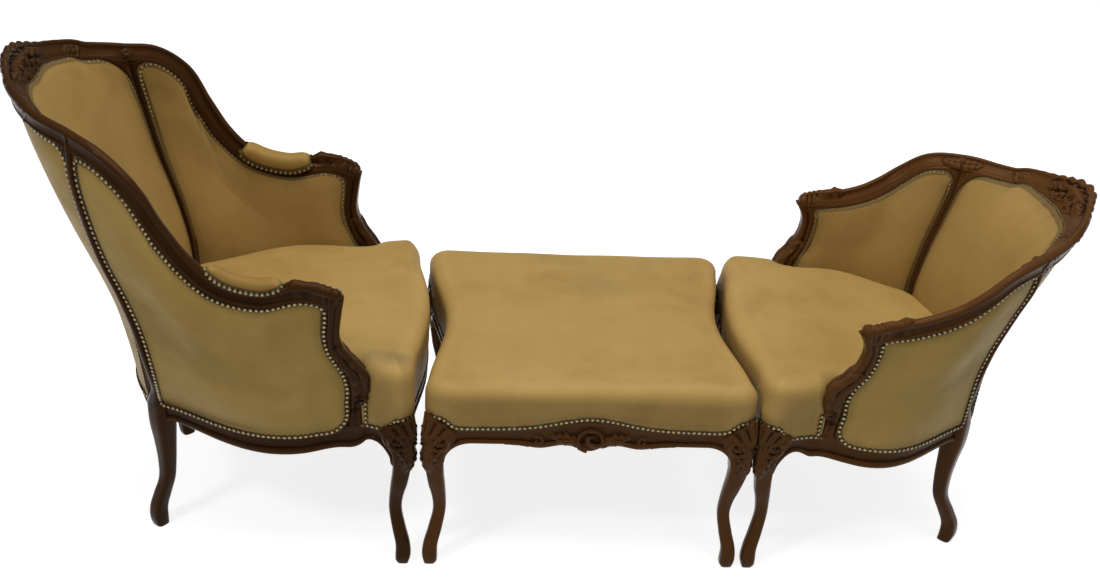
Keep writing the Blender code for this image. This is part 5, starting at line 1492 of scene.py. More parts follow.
def seat_mesh(outline, foot, height, crown, phase, lean, step=None):
    """A stuffed seat: walls from its foot, a rounded edge and a crowned top, closed."""
    directions = soft_directions(outline)
    rows = seat_rows(outline, directions, foot, height, lean)
    top = crowned_top(rows[-1], crown)
    points = np.vstack(rows + [top[1:-1, 1:-1].reshape(-1, 3)])
    count = len(outline)
    faces = grid_faces(len(rows), count, wrap=True)
    index = top_index((len(rows) - 1) * count, count, len(rows) * count)
    for near, far in zip(index[:-1], index[1:]):
        faces += zip(near[:-1], far[:-1], far[1:], near[1:])
    rise = (points[:, 2] - foot.mean()) / (SEAT_RAIL_TOP + height.mean() - foot.mean())
    points = relax(points, faces, 0.5 * smooth_step(0.30, 0.65, rise), 3)
    if step is not None:
        points = draw_down(points, faces, rise, step)
    points[:, 2] += soft_waves(points, rise, phase)
    floor = points[:count].mean(axis=0)
    floor[2] = SEAT_RAIL_TOP + 0.003
    inner = points[:count].copy()
    inner[:, :2] -= directions * 0.004
    base = len(points)
    points = np.vstack((points, inner, floor))
    for i in range(count):
        j = (i + 1) % count
        faces.append((j, i, base + i, base + j))
        faces.append((base + j, base + i, base + count))
    return points, faces


class Nodes:
    """Short calls for building a material's node tree."""

    def __init__(self, name):
        self.material = bpy.data.materials.new(name)
        self.material.use_nodes = True
        self.tree = self.material.node_tree
        self.shader = self.tree.nodes["Principled BSDF"]

    def add(self, kind, settings=None, **inputs):
        """A node with settings, and with its inputs set or linked."""
        node = self.tree.nodes.new(kind)
        for key, value in (settings or {}).items():
            setattr(node, key, value)
        for key, value in inputs.items():
            self.set(node, key, value)
        return node

    def set(self, node, key, value):
        """Set or link one input of a node."""
        socket = node.inputs[int(key[1:])] if key[0] == "i" and key[1:].isdigit() \
            else node.inputs[key.replace("_", " ")]
        if isinstance(value, bpy.types.NodeSocket):
            self.tree.links.new(value, socket)
        else:
            socket.default_value = value

    def attribute(self, name, output="Fac"):
        """A stored attribute of the mesh."""
        node = self.add("ShaderNodeAttribute", {"attribute_name": name})
        return node.outputs[output]

    def noise(self, vector, scale, detail=4.0, roughness=0.55, distortion=0.0):
        """A noise value over a vector."""
        return self.add("ShaderNodeTexNoise", None, Vector=vector, Scale=scale,
                        Detail=detail, Roughness=roughness, Distortion=distortion
                        ).outputs["Fac"]

    def ramp(self, value, stops):
        """A value turned to colours between stops."""
        node = self.add("ShaderNodeValToRGB", None, Fac=value)
        while len(node.color_ramp.elements) < len(stops):
            node.color_ramp.elements.new(0.5)
        for element, (place, colour) in zip(node.color_ramp.elements, stops):
            element.position = place
            element.color = tuple(colour) + (1.0,)
        return node.outputs["Color"]

    def level(self, value, low, high, to_low=0.0, to_high=1.0):
        """A value mapped from one range to another."""
        return self.add("ShaderNodeMapRange", None, Value=value, From_Min=low,
                        From_Max=high, To_Min=to_low, To_Max=to_high).outputs["Result"]

    def math(self, kind, first, second=0.0):
        """A sum, product or other step between two values."""
        return self.add("ShaderNodeMath", {"operation": kind}, i0=first, i1=second
                        ).outputs[0]

    def mix(self, share, first, second):
        """A mix of two colours."""
        node = self.add("ShaderNodeMix", {"data_type": "RGBA"})
        self.set(node, "i0", share)
        self.set(node, "i6", first if not isinstance(first, tuple) else first + (1.0,))
        self.set(node, "i7", second if not isinstance(second, tuple) else second + (1.0,))
        return node.outputs[2]

    def place(self):
        """The object's own coordinates, in metres."""
        return self.add("ShaderNodeTexCoord").outputs["Object"]

    def stretch(self, vector, scale, move=(0.0, 0.0, 0.0)):
        """Coordinates scaled by an amount for each axis."""
        return self.add("ShaderNodeMapping", None, Vector=vector, Scale=scale,
                        Location=move).outputs["Vector"]

    def bumps(self, height, strength, distance, normal=None):
        """A bump from a height."""
        node = self.add("ShaderNodeBump", None, Height=height, Strength=strength,
                        Distance=distance)
        if normal is not None:
            self.set(node, "Normal", normal)
        return node.outputs["Normal"]


# Grain tones and a red tone of the wood; a light edge colour, partly wear and partly painted
# highlight; a near-black hollow colour, partly wax and partly painted shade
WALNUT_GRAIN = ((0.25, (0.012, 0.0040, 0.0011)), (0.50, (0.026, 0.0085, 0.0020)),
                (0.75, (0.050, 0.0175, 0.0044)))
WALNUT_RED = (0.044, 0.0120, 0.0026)
WALNUT_EDGE_WEAR_AND_HIGHLIGHT = (0.145, 0.060, 0.018)
WALNUT_HOLLOW_WAX_AND_SHADE = (0.0020, 0.0010, 0.0006)


def walnut(name, gain):
    """Dark walnut under wax: grain along the member, hollows darkened by wax and painted
    shade, edges lightened by wear and a painted highlight.
    """
    def tone(colour):
        return tuple(gain * c for c in colour)

    n = Nodes(name)
    place = n.place()
    flow = n.attribute("grain", "Vector")
    grain_place = n.stretch(flow, (9.0, 170.0, 1.0))
    fibre_place = n.stretch(flow, (40.0, 900.0, 1.0))
    grain = n.noise(grain_place, 1.0, 5.0, 0.6, 0.6)
    fibre = n.noise(fibre_place, 1.0, 2.0)
    cloud = n.noise(place, 9.0, 3.0)
    wood = n.ramp(grain, [(stop, tone(colour)) for stop, colour in WALNUT_GRAIN])
    red = n.mix(n.level(cloud, 0.35, 0.70), wood, tone(WALNUT_RED))
    body = n.mix(0.45, wood, red)
    relief = n.attribute("relief")
    # The third value of this step stays at 0.5, which lifts the whole sum
    wobble = n.math("MULTIPLY_ADD", n.noise(place, 55.0, 3.0), 0.16)
    wear_and_light = n.math("ADD", relief, n.math("SUBTRACT", wobble, 0.08))
    # Painted shade and highlight: the relief's hollows darken, partly wax caught in them and
    # partly painted shade; its edges lighten, partly wear and partly a painted highlight
    hollow = n.level(wear_and_light, 0.24, 0.66)
    edge = n.level(wear_and_light, 0.64, 0.98)
    waxed_and_shaded = n.mix(hollow, WALNUT_HOLLOW_WAX_AND_SHADE, body)
    rubbed_and_highlit = n.mix(n.math("MULTIPLY", edge, 0.80), waxed_and_shaded, tone(WALNUT_EDGE_WEAR_AND_HIGHLIGHT))
    n.set(n.shader, "Base Color", rubbed_and_highlit)
    rough = n.level(n.math("ADD", n.math("MULTIPLY", edge, -0.5), cloud), -0.1, 0.8, 0.14,
                    0.30)
    n.set(n.shader, "Roughness", rough)
    n.shader.inputs["IOR"].default_value = 1.28
    n.shader.inputs["Specular IOR Level"].default_value = 0.25
    n.shader.inputs["Specular Tint"].default_value = (1.0, 0.56, 0.28, 1.0)
    fine = n.bumps(fibre, 0.20, 0.0006)
    n.set(n.shader, "Normal", n.bumps(grain, 0.22, 0.0010, fine))
    return n.material


# Near-black of the band beside the nails: grime and painted shade round their domes
NAIL_DIRT_AND_SHADE = (0.016, 0.0085, 0.0045)


def spot(n, place, centre, radius, softness, wobble):
    """A soft-edged patch round a point, for a stain or mark."""
    moved = n.add("ShaderNodeVectorMath", {"operation": "DISTANCE"}, i0=place, i1=centre
                  ).outputs["Value"]
    ragged = n.math("ADD", moved, n.math("MULTIPLY", wobble, radius * 0.9))
    return n.level(ragged, radius * (1.45 + softness), radius * (1.45 - softness))


def leather(name, light, base, dark, marks=()):
    """Mustard hide: clouded colour, fine pebble, creases, grime and painted shade along the
    nails, painted shade in hollows, and wear with a painted highlight on raised parts.
    """
    n = Nodes(name)
    place = n.place()
    cloud = n.noise(place, 4.5, 4.0, 0.6, 0.3)
    mottle = n.noise(n.stretch(place, (1.0, 1.0, 1.0), (3.1, 1.7, 0.4)), 17.0, 5.0, 0.65)
    hide = n.ramp(cloud, ((0.30, dark), (0.50, base), (0.72, light)))
    patchy = n.mix(n.level(mottle, 0.35, 0.75, 0.0, 0.30), hide,
                   tuple(0.72 * c for c in dark))
    wobble = n.noise(place, 30.0, 3.0)
    colour = patchy
    for centre, radius, softness, tint, strength in marks:
        mask = n.math("MULTIPLY", spot(n, place, centre, radius, softness, wobble), strength)
        colour = n.mix(mask, colour, tint)
    # Painted shade and grime: the hide darkens towards its nailed edges and the foot of the
    # seat walls, and a near-black band lies just beyond the nails
    field = n.attribute("field")
    dirt_and_shade = n.level(n.math("ADD", field, n.math("MULTIPLY", mottle, 0.35)), 0.35, 1.25,
                   0.50, 0.0)
    soiled_and_shaded = n.mix(dirt_and_shade, colour, tuple(0.42 * c for c in dark))
    band = n.level(n.math("ADD", field, n.math("MULTIPLY", wobble, 0.10)), 0.34, 0.46,
                   0.90, 0.0)
    soiled_and_shaded = n.mix(band, soiled_and_shaded, NAIL_DIRT_AND_SHADE)
    # Painted light on the hide: raised parts lighten towards a pale tone, partly wear and
    # partly a painted highlight, and hollows and creases darken as painted shade
    relief = n.attribute("relief")
    rubbed_and_highlit = n.mix(n.level(relief, 0.60, 0.95, 0.0, 0.25), soiled_and_shaded,
                   tuple(min(1.25 * c, 1.0) for c in light))
    sunk = n.mix(n.level(relief, 0.40, 0.05, 0.0, 0.55), rubbed_and_highlit,
                 tuple(0.45 * c for c in dark))
    n.set(n.shader, "Base Color", sunk)
    pebble = n.add("ShaderNodeTexVoronoi", {"feature": "SMOOTH_F1"}, Vector=place,
                   Scale=620.0).outputs["Distance"]
    crease_place = n.stretch(place, (24.0, 60.0, 40.0))
    crease = n.noise(crease_place, 1.0, 5.0, 0.6, 1.2)
    folds = n.level(n.math("ABSOLUTE", n.math("SUBTRACT", crease, 0.5)), 0.0, 0.05)
    n.set(n.shader, "Roughness", n.level(mottle, 0.3, 0.75, 0.40, 0.58))
    n.shader.inputs["Specular IOR Level"].default_value = 0.17
    n.shader.inputs["Specular Tint"].default_value = (1.0, 0.86, 0.62, 1.0)
    grain = n.bumps(pebble, 0.28, 0.0005)
    n.set(n.shader, "Normal", n.bumps(folds, 0.16, 0.0006, grain))
    return n.material


def brass(name):
    """Antique brass domes: dark round the rim with tarnish and painted shade, pale on top with
    polish and a painted highlight.
    """
    n = Nodes(name)
    place = n.place()
    dome = n.attribute("dome")
    tarnish = n.noise(place, 160.0, 3.0)
    wear_and_light = n.math("ADD", dome, n.math("MULTIPLY", n.math("SUBTRACT", tarnish, 0.5), 0.7))
    # Painted light: the colour runs from near-black at the rim, partly tarnish and partly
    # painted shade, to pale brass on top, partly polish and partly a painted highlight
    n.set(n.shader, "Base Color",
          n.ramp(wear_and_light, ((0.20, (0.012, 0.009, 0.005)), (0.50, (0.090, 0.065, 0.030)),
                        (0.84, (0.450, 0.340, 0.145)))))
    n.shader.inputs["Metallic"].default_value = 0.50
    n.set(n.shader, "Roughness", n.level(wear_and_light, 0.2, 0.9, 0.55, 0.28))
    n.set(n.shader, "Normal", n.bumps(tarnish, 0.25, 0.0004))
    return n.material


def jute(name):
    """Woven jute straps."""
    n = Nodes(name)
    place = n.place()
    threads = n.add("ShaderNodeTexWave", {"bands_direction": "X"}, Vector=place,
                    Scale=90.0, Distortion=0.6).outputs["Fac"]
    cross = n.add("ShaderNodeTexWave", {"bands_direction": "Y"}, Vector=place,
                  Scale=90.0, Distortion=0.6).outputs["Fac"]
    weave = n.math("MULTIPLY", threads, cross)
    fuzz = n.noise(place, 300.0, 3.0)
    n.set(n.shader, "Base Color", n.mix(weave, (0.17, 0.115, 0.055), (0.40, 0.30, 0.17)))
    n.set(n.shader, "Roughness", n.level(fuzz, 0.3, 0.7, 0.8, 0.95))
    n.set(n.shader, "Normal", n.bumps(weave, 0.6, 0.0008, n.bumps(fuzz, 0.3, 0.0004)))
    return n.material


def stool_outline():
    """Plan outline of the stool's seat in four runs, from the -Y side round by +X."""
    half = SEAT_RAIL_THICKNESS / 2
    radius = SEAT_CORNER_RADIUS
    corner = np.array((STOOL_LENGTH / 2 - radius, STOOL_WIDTH / 2 - radius))
    corner -= SEAT_SKIRT_INSET
    turns = np.linspace(0.04, 0.46, 9) * math.pi
    quarter = [np.array((corner[0] + radius * math.sin(a), -corner[1] - radius * math.cos(a)))
               for a in turns]
    middle = (len(turns) + 1) // 2
    long_side = [np.array((0.0, -(stool_long_line(0.5)[1] + half)))] + quarter[:middle]
    end_side = quarter[middle - 1:]
    for s in np.linspace(1.0, 0.0, 41):
        p = stool_end_line(s)
        if -corner[1] + 0.004 < p[1] <= 0:
            end_side.append(np.array((p[0] + half, p[1])))
    flip_x = np.array((-1, 1))
    flip_y = np.array((1, -1))
    cells = SEAT_CELLS
    low = resample([p * flip_x for p in long_side[::-1]] + long_side[1:], cells)
    right = resample(end_side + [p * flip_y for p in end_side[-2::-1]], cells)
    high = resample([p * flip_y for p in long_side[::-1]]
                    + [p * flip_y * flip_x for p in long_side[1:]], cells)
    left = resample([p * flip_x * flip_y for p in end_side]
                    + [p * flip_x for p in end_side[-2::-1]], cells)
    return np.vstack((low[:-1], right[:-1], high[:-1], left[:-1]))


def stool_long_line(s):
    """Plan of the stool's long rail on the +Y side."""
    s = np.asarray(s, dtype=float)
    half = (STOOL_LENGTH - KNEE_BLOCK_WIDTH) / 2
    y = (STOOL_WIDTH - KNEE_BLOCK_WIDTH) / 2 + 0.2 * SEAT_RAIL_THICKNESS
    return np.stack((half * (2 * s - 1), y + 0 * s, SEAT_RAIL_TOP + 0 * s), axis=-1)


def stool_end_line(s):
    """Plan of the stool's end rail on the +X side."""
    s = np.asarray(s, dtype=float)
    half = (STOOL_WIDTH - KNEE_BLOCK_WIDTH) / 2
    x = (STOOL_LENGTH - KNEE_BLOCK_WIDTH) / 2 + 0.2 * SEAT_RAIL_THICKNESS
    hollow = STOOL_END_HOLLOW * np.cos(math.pi * (s - 0.5)) ** 2
    return np.stack((x - hollow, half * (1 - 2 * s), SEAT_RAIL_TOP + 0 * s), axis=-1)


def front_rail_line(s):
    """Plan of a bergere's bowed front rail."""
    s = np.asarray(s, dtype=float)
    half = (KNEE_SPREAD - KNEE_BLOCK_WIDTH) / 2
    bow = FRONT_RAIL_BOW * np.maximum(np.cos(math.pi * (s - 0.5)), 0.0) ** 1.5
    return np.stack((KNEE_BLOCK_WIDTH / 2 - bow, half * (2 * s - 1),
                     SEAT_RAIL_TOP + 0 * s), axis=-1)


def knee_climb(outline, corners, reach=0.070):
    """How high the leather's foot stands over the knees, for points of an outline."""
    near = np.min([np.linalg.norm(outline - np.array(c), axis=1) for c in corners], axis=0)
    return (KNEE_LEAF_HEIGHT + 0.005) * (1 - smooth_step(0.034, reach, near))


def seat_nails(nails, outline, foot, height, spans):
    """Nails along the foot of a seat's leather, over spans of its outline."""
    directions = soft_directions(outline)
    wall = SEAT_RAIL_TOP + height - SEAT_ROUNDING_DEPTH - foot
    out = seat_bulge(NAIL_INSET / wall) - SEAT_SKIRT_INSET + 0.0008
    line = np.concatenate((outline + directions * out[:, None],
                           (foot + NAIL_INSET)[:, None]), axis=1)
    normals = np.concatenate((directions, np.zeros((len(outline), 1))), axis=1)
    count = len(outline)
    for first, last in spans:
        pick = np.arange(first, last + 1) % count
        nails.add_line(line[pick], normals[pick], closed=(last - first) >= count)


def stool_body(section, nails):
    """The stool: legs, rails, seat and webbing."""
    wood = MATERIALS["walnut"]
    knees = (STOOL_LENGTH / 2, STOOL_WIDTH / 2)
    for x_side, across in ((-1, "left"), (1, "right")):
        for y_side, along in ((-1, "front"), (1, "back")):
            add_leg(section, f"stool_{along}_{across}_leg", knees, -1, STOOL_LEAF_HEIGHT,
                    (x_side, y_side), x_side > 0, wood)
    for y_side, along in ((-1, "front"), (1, "back")):
        rail = rail_member(stool_long_line, 320, stool_scallop, stool_rail_top, shell_relief)
        node = f"stool_{along}_rail"
        add_member(section, f"{node}_carved", rail, wood, node, (1, y_side))
    for x_side, across in ((-1, "left"), (1, "right")):
        node = f"stool_{across}_rail"
        add_member(section, f"{node}_moulded", rail_member(stool_end_line, 120, scallop),
                   wood, node, (x_side, 1))
    outline = stool_outline()
    corners = [(a * knees[0], b * knees[1]) for a in (-1, 1) for b in (-1, 1)]
    on_long = smooth_step(0.02, 0.012, np.abs(np.abs(outline[:, 1]) - knees[1] + 0.006))
    on_long = np.where(np.abs(outline[:, 0]) < 0.25, 1.0, on_long)
    foot = (LEATHER_FOOT + knee_climb(outline, corners) * (1 - 0.3 * on_long)
            + (STOOL_RAIL_LIFT + shell_rise(outline[:, 0])) * on_long)
    height = np.full(len(outline), STOOL_SEAT_EDGE)
    add_seat(section, outline, foot, height, STOOL_SEAT_CROWN, 0.4, 0 * foot)
    seat_nails(nails, outline, foot, height, [(0, len(outline))])
    add_webbing(section, outline)


def add_seat(section, outline, foot, height, crown, phase, lean, step=None):
    """A seat's leather over its stuffing, in one closed form."""
    points, faces = seat_mesh(outline, foot, height, crown, phase, lean, step)
    name = section.name
    thing = add_piece(f"{name}_seat_leather", section.place(points), faces,
                      MATERIALS["seat leather"], section.body,
                      (f"{name}_seat_cover", f"{name}_seat_stuffing"),
                      relief=LEATHER_RELIEF, sharp=LEATHER_SHARP)
    count = len(outline)
    climb = np.full(len(points), 1.0)
    for row in range(SEAT_WALL_ROWS + 1):
        here = slice(row * count, (row + 1) * count)
        climb[here] = (points[here, 2] - foot) / FIELD_REACH
    climb[-count - 1:] = 0.0
    store(thing.data, "field", np.clip(climb, 0.0, 1.0))


def add_webbing(section, outline):
    """Crossed jute straps, woven over and under each other."""
    low = outline.min(axis=0) + STRAP_INSET
    high = outline.max(axis=0) - STRAP_INSET
    points = []
    faces = []
    for axis in (0, 1):
        other = 1 - axis
        for k in range(STRAP_COUNT):
            at = low[other] + (high[other] - low[other]) * (k + 0.5) / STRAP_COUNT
            first, last = strap_ends(outline, axis, at)
            run = np.linspace(first, last, 61)
            wave = np.cos(math.pi * (run - low[axis]) * STRAP_COUNT
                          / (high[axis] - low[axis]))
            sense = (1 if k % 2 else -1) * (1 if axis else -1)
            base = np.zeros((len(run), 2, 3))
            base[:, :, axis] = run[:, None]
            base[:, 0, other] = at - STRAP_WIDTH / 2
            base[:, 1, other] = at + STRAP_WIDTH / 2
            base[:, :, 2] = (SEAT_RAIL_TOP + STRAP_LIFT + STRAP_WAVE * sense * wave)[:, None]
            own, own_faces = closed_sheet(base + np.array((0.0, 0.0, STRAP_THICKNESS)), base)
            start = sum(len(p) for p in points)
            points.append(own)
            faces += [tuple(i + start for i in f) for f in own_faces]
    add_piece(f"{section.name}_woven_webbing", section.place(np.vstack(points)), faces,
              MATERIALS["webbing"], section.body,
              (f"{section.name}_seat_webbing",), relief=None)


def strap_ends(outline, axis, at):
    """Where a strap meets the seat's outline, a little inside it."""
    other = 1 - axis
    closed = np.vstack((outline, outline[:1]))
    hits = []
    for p, q in zip(closed[:-1], closed[1:]):
        if (p[other] - at) * (q[other] - at) <= 0 and p[other] != q[other]:
            share = (at - p[other]) / (q[other] - p[other])
            hits.append(p[axis] + share * (q[axis] - p[axis]))
    return min(hits) + STRAP_END, max(hits) - STRAP_END


def bergere_outline(chair):
    """Plan outline of a bergere's seat: over the rails in front, beside the pads behind."""
    half = SEAT_RAIL_THICKNESS / 2
    radius = SEAT_CORNER_RADIUS
    corner = np.array((radius, KNEE_SPREAD / 2 - radius - SEAT_SKIRT_INSET))
    front = []
    for s in np.linspace(0.5, 1.0, 31):
        p = front_rail_line(s)
        if p[1] < corner[1]:
            front.append(np.array((min(p[0] - half, 0.3 * half), p[1])))
    turns = np.linspace(0.08, 0.42, 7) * math.pi
    quarter = [corner + radius * np.array((-math.cos(a), math.sin(a))) for a in turns]
    front += quarter[:4]
    side = quarter[3:]
    post = chair.post.share(0.0)
    line = chair.rail_line
    last_front = post[0] - 0.0150
    for s in np.linspace(0.0, 1.0, 160):
        p = line.share(s)
        if p[0] > last_front:
            break
        ahead = line.share(min(s + 0.02, 1.0)) - line.share(max(s - 0.02, 0.0))
        out = unit(np.array((-ahead[1], ahead[0])))
        if p[0] > corner[0] + radius / 2:
            side.append(p[:2] + out * (half + 0.0015))
    fronts = len(side)
    level = chair.seat[1] * 0.85

    def pad_line(wall, crown, shares):
        v = np.clip(level / np.array([np.linalg.norm(wall(u, 1.0) - wall(u, 0.0))
                                      for u in shares]), 0, 1)
        offset = PAD_EDGE + crown * pad_swell(shares, v) + 0.002
        return lift(wall, shares, v * 0.5, offset)[:, :2]

    turn = [np.array((post[0] - 0.017, post[1] - 0.026))]
    beside = pad_line(chair.side_wall, SIDE_PAD_CROWN, np.linspace(0.10, 0.93, 30))
    side += turn + list(beside)
    rear = list(pad_line(chair.back_wall, BACK_PAD_CROWN, np.linspace(0.05, 0.5, 14)))
    flip = np.array((1, -1))
    cells = SEAT_CELLS
    front_run = resample([p * flip for p in front[::-1]] + front[1:], cells)
    side_run = np.vstack((resample(side[:fronts], SEAT_FRONT_CELLS)[:-1],
                          resample(side[fronts - 1:], cells - SEAT_FRONT_CELLS)))
    back_run = resample([side[-1]] + rear + [p * flip for p in rear[-2::-1]]
                        + [side[-1] * flip], cells)
    other = side_run[::-1] * flip
    outline = np.vstack((front_run[:-1], side_run[:-1], back_run[:-1], other[:-1]))
    return outline, last_front


def bergere_wood(chair):
    """The crest, arms, posts, legs and rails of one bergere."""
    name = chair.name
    wood = MATERIALS[f"{name} walnut"]
    crest = top_member(chair, chair.join + CREST_GAP,
                       chair.top.knots[-1] - chair.join - CREST_GAP, 420)
    add_member(chair, f"{name}_crest_carved", crest, wood, f"{name}_crest_rail",
               relief=CREST_RELIEF)
    side_rail = rail_member(chair.rail_line.share, 260, side_scallop,
                            fillets=SIDE_RAIL_FILLETS)
    pairs = (("arm_rail", "carved", arm_member(chair)),
             ("arm_post", "carved", post_member(chair)),
             ("rear_post", "moulded", rear_member(chair)),
             ("side_rail", "moulded", side_rail))
    for side in (1, -1):
        hand = chair.hand(side)
        for part, finish, member in pairs:
            node = f"{name}_{part}_{hand}"
            add_member(chair, f"{node}_{finish}", member, wood, node, (1, side))
        add_leg(chair, f"{name}_front_leg_{hand}", (0.0, KNEE_SPREAD / 2), 1,
                KNEE_LEAF_HEIGHT, (1, side), chair.facing > 0, wood)
    for part, line, lower, fillets in (
            ("front_rail", front_rail_line, scallop, RAIL_FILLETS),
            ("back_rail", chair.rail_back.share, back_scallop, BACK_RAIL_FILLETS)):
        node = f"{name}_{part}"
        add_member(chair, f"{node}_moulded", rail_member(line, 130, lower, fillets=fillets),
                   wood, node)


def bergere_openings(chair):
    """The framed parts of its walls: side and back, each from inside and from outside."""
    def by_post(t):
        return chair.post_half_width(t) * (2 * POST_SLIMNESS - 1.04)

    def by_stile(t):
        return STILE_HALF_WIDTH - 0.002 + 0 * t

    def behind_stile(t):
        return STILE_OUTER_MARGIN + 0 * t

    def under_crest(s):
        return crest_line(chair, 2 * (chair.centre - chair.join) * (np.asarray(s) - 0.5))[1]

    def no_gap(s):
        return 0.0 * s

    def sag(s):
        return -0.017 - 0.005 * np.sin(math.pi * np.asarray(s)) ** 2

    inside = Opening(chair.side_wall, by_post, by_stile, no_gap,
                     lambda s: ARM_MARGIN * chair.slant(s), (0.016, 0.036, 0.0, 0.0))
    outside = Opening(chair.side_wall, by_post, behind_stile, sag,
                      lambda s: ARM_OUTER_MARGIN * chair.slant(s),
                      (0.016, 0.014, 0.046, 0.006))
    back_in = Opening(chair.back_wall, by_stile, by_stile, no_gap, under_crest,
                      (0.072, 0.072, 0.0, 0.0))
    back_out = Opening(chair.back_wall, behind_stile, behind_stile, sag,
                       lambda s: np.maximum(under_crest(s), ARM_OUTER_MARGIN),
                       (0.030, 0.030, 0.006, 0.006))
    return inside, outside, back_in, back_out


def bergere_walls(chair, nails):
    """The leather of one bergere's walls, its nails and the strips round it."""
    name = chair.name
    inside, outside, back_in, back_out = bergere_openings(chair)
    for side in (1, -1):
        hand = chair.hand(side)
        upholster(chair, f"{name}_inside_side_{hand}_leather", inside, side, nails, True,
                  SIDE_PAD_CROWN, (f"{name}_inside_side_pad_{hand}",), 44)
        upholster(chair, f"{name}_outside_side_{hand}_leather", outside, side, nails, False,
                  PANEL_CROWN, (f"{name}_outside_side_panel_{hand}",), 44)
    upholster(chair, f"{name}_inside_back_leather", back_in, 1, nails, True, BACK_PAD_CROWN,
              (f"{name}_inside_back_pad",), 56, 36)
    upholster(chair, f"{name}_outside_back_leather", back_out, 1, nails, False, PANEL_CROWN,
              (f"{name}_outside_back_panel",), 56, 36)
    add_frame_corners(chair, [(inside, True, (1, -1)), (outside, False, (1, -1)),
                              (back_in, True, (1,)), (back_out, False, (1,))],
                      MATERIALS[f"{name} walnut"])


def bergere_seat(chair, nails):
    """The seat of one bergere, with its nails and its webbing."""
    outline, last_front = bergere_outline(chair)
    corners = [(0.0, KNEE_SPREAD / 2), (0.0, -KNEE_SPREAD / 2)]
    e = outline[:, 0]
    foot = np.where(e < last_front + 0.002, LEATHER_FOOT + knee_climb(outline, corners),
                    SEAT_RAIL_TOP + 0.004)
    rear = chair.rail_back.share(0.5)[0]
    height = np.interp(e, (0.0, chair.post.share(0.0)[0], rear), chair.seat)
    lean = np.interp(e, (last_front + 0.01, last_front + 0.08, rear - 0.10, rear),
                     (0.0, 0.008, 0.014, 0.024))
    add_seat(chair, outline, foot, height, SEAT_CROWN, 1.3 + chair.facing, lean, last_front)
    last = SEAT_CELLS + SEAT_FRONT_CELLS
    first = len(outline) - SEAT_FRONT_CELLS
    seat_nails(nails, outline, foot, height, [(first - len(outline), last)])
    up_posts(nails, outline, foot, (first, last))
    add_webbing(chair, outline)


def bergere_body(chair, nails):
    """All the pieces of one bergere, but for its arm pads."""
    bergere_wood(chair)
    bergere_walls(chair, nails)
    bergere_seat(chair, nails)


def up_posts(nails, outline, foot, ends):
    """Nails up the seat's leather where it meets the arm posts."""
    directions = soft_directions(outline)
    rise = np.linspace(0.014, 0.060, 12)
    for k, before in zip(ends, (1, -1)):
        out = seat_bulge(rise / 0.1) - SEAT_SKIRT_INSET + 0.0014
        here = outline[k] + unit(outline[k + before] - outline[k]) * 0.0085
        facing = directions[k + 3 * before]
        line = np.concatenate((here + facing * out[:, None],
                               (foot[k] + rise)[:, None]), axis=1)
        nails.add_line(line, np.tile(np.append(facing, 0.0), (len(rise), 1)))


def arm_cushions(chair, nails):
    """The stuffed pads nailed on the tall bergere's arm rails."""
    first = ARM_PAD_SHARES[0] * chair.join
    last = ARM_PAD_SHARES[1] * chair.join
    count = 60
    distances = np.linspace(first, last, count)
    s = np.linspace(-1.0, 1.0, count)
    here, up, inward, _ = chair.top_frames(distances)
    swell = np.maximum(1 - np.abs(s) ** 7, 0.0) ** 0.5
    half = ARM_PAD_WIDTH / 2 * (0.50 + 0.50 * swell)
    rise = 0.9 * ARM_PAD_HEIGHT * (0.12 + 0.88 * swell)
    turns = np.linspace(0.0, math.pi, 25)
    a = np.sin(turns) ** 0.8
    b = np.cos(turns)
    b = np.sign(b) * np.abs(b) ** 0.8
    reach = half[:, None] * b * 0.96
    base = np.interp(reach, (-0.023, -0.017, -0.008, 0.0, 0.007, 0.012, 0.023),
                     (0.012, 0.015, 0.0195, 0.0175, 0.010, 0.006, 0.003))
    front = (here[:, None, :] + up[:, None, :] * (base + 0.0075 + (0.020 + rise[:, None]
             - base - 0.0075) * a)[..., None] + inward[:, None, :] * reach[..., None])
    back = (here[:, None, :] + up[:, None, :] * (base - 0.002)[..., None]
            + inward[:, None, :] * (reach * 0.85)[..., None])
    fade = smooth_step(0.0, 0.5, a[None, :] * swell[:, None])
    for side in (1, -1):
        hand = chair.hand(side)
        add_leather(chair, f"{chair.name}_arm_cushion_{hand}", front, back, fade,
                    MATERIALS["arm leather"], (f"{chair.name}_arm_pad_{hand}",), side)
        for edge, column in ((1, 0), (-1, -1)):
            line = (here + up * (base[:, column] + 0.004)[:, None]
                    + inward * (edge * (half * 0.96 + 0.0006))[:, None])
            nails.add_line(line, inward * edge, side)


def add_floor():
    """The pale floor, which glows for the camera and in gloss but sheds no light."""
    n = Nodes("floor")
    place = n.place()
    tone = n.ramp(n.noise(place, 1.3, 3.0), ((0.3, (0.58, 0.58, 0.58)),
                                             (0.7, (0.60, 0.60, 0.60))))
    n.set(n.shader, "Base Color", tone)
    n.set(n.shader, "Roughness", n.level(n.noise(place, 40.0, 2.0), 0.3, 0.7, 0.7, 0.85))
    seen = n.add("ShaderNodeLightPath")
    shown = n.math("MAXIMUM", n.math("MAXIMUM", seen.outputs["Is Camera Ray"],
                                     seen.outputs["Is Glossy Ray"]),
                   seen.outputs["Is Transmission Ray"])
    n.shader.inputs["Emission Color"].default_value = (1.0, 1.0, 1.0, 1.0)
    n.set(n.shader, "Emission Strength", n.math("MULTIPLY", shown, FLOOR_GLOW))
    bpy.ops.mesh.primitive_plane_add(size=FLOOR_SIZE, location=(0.0, 0.0, 0.0))
    floor = bpy.context.object
    floor.name = "floor"
    floor.data.materials.append(n.material)


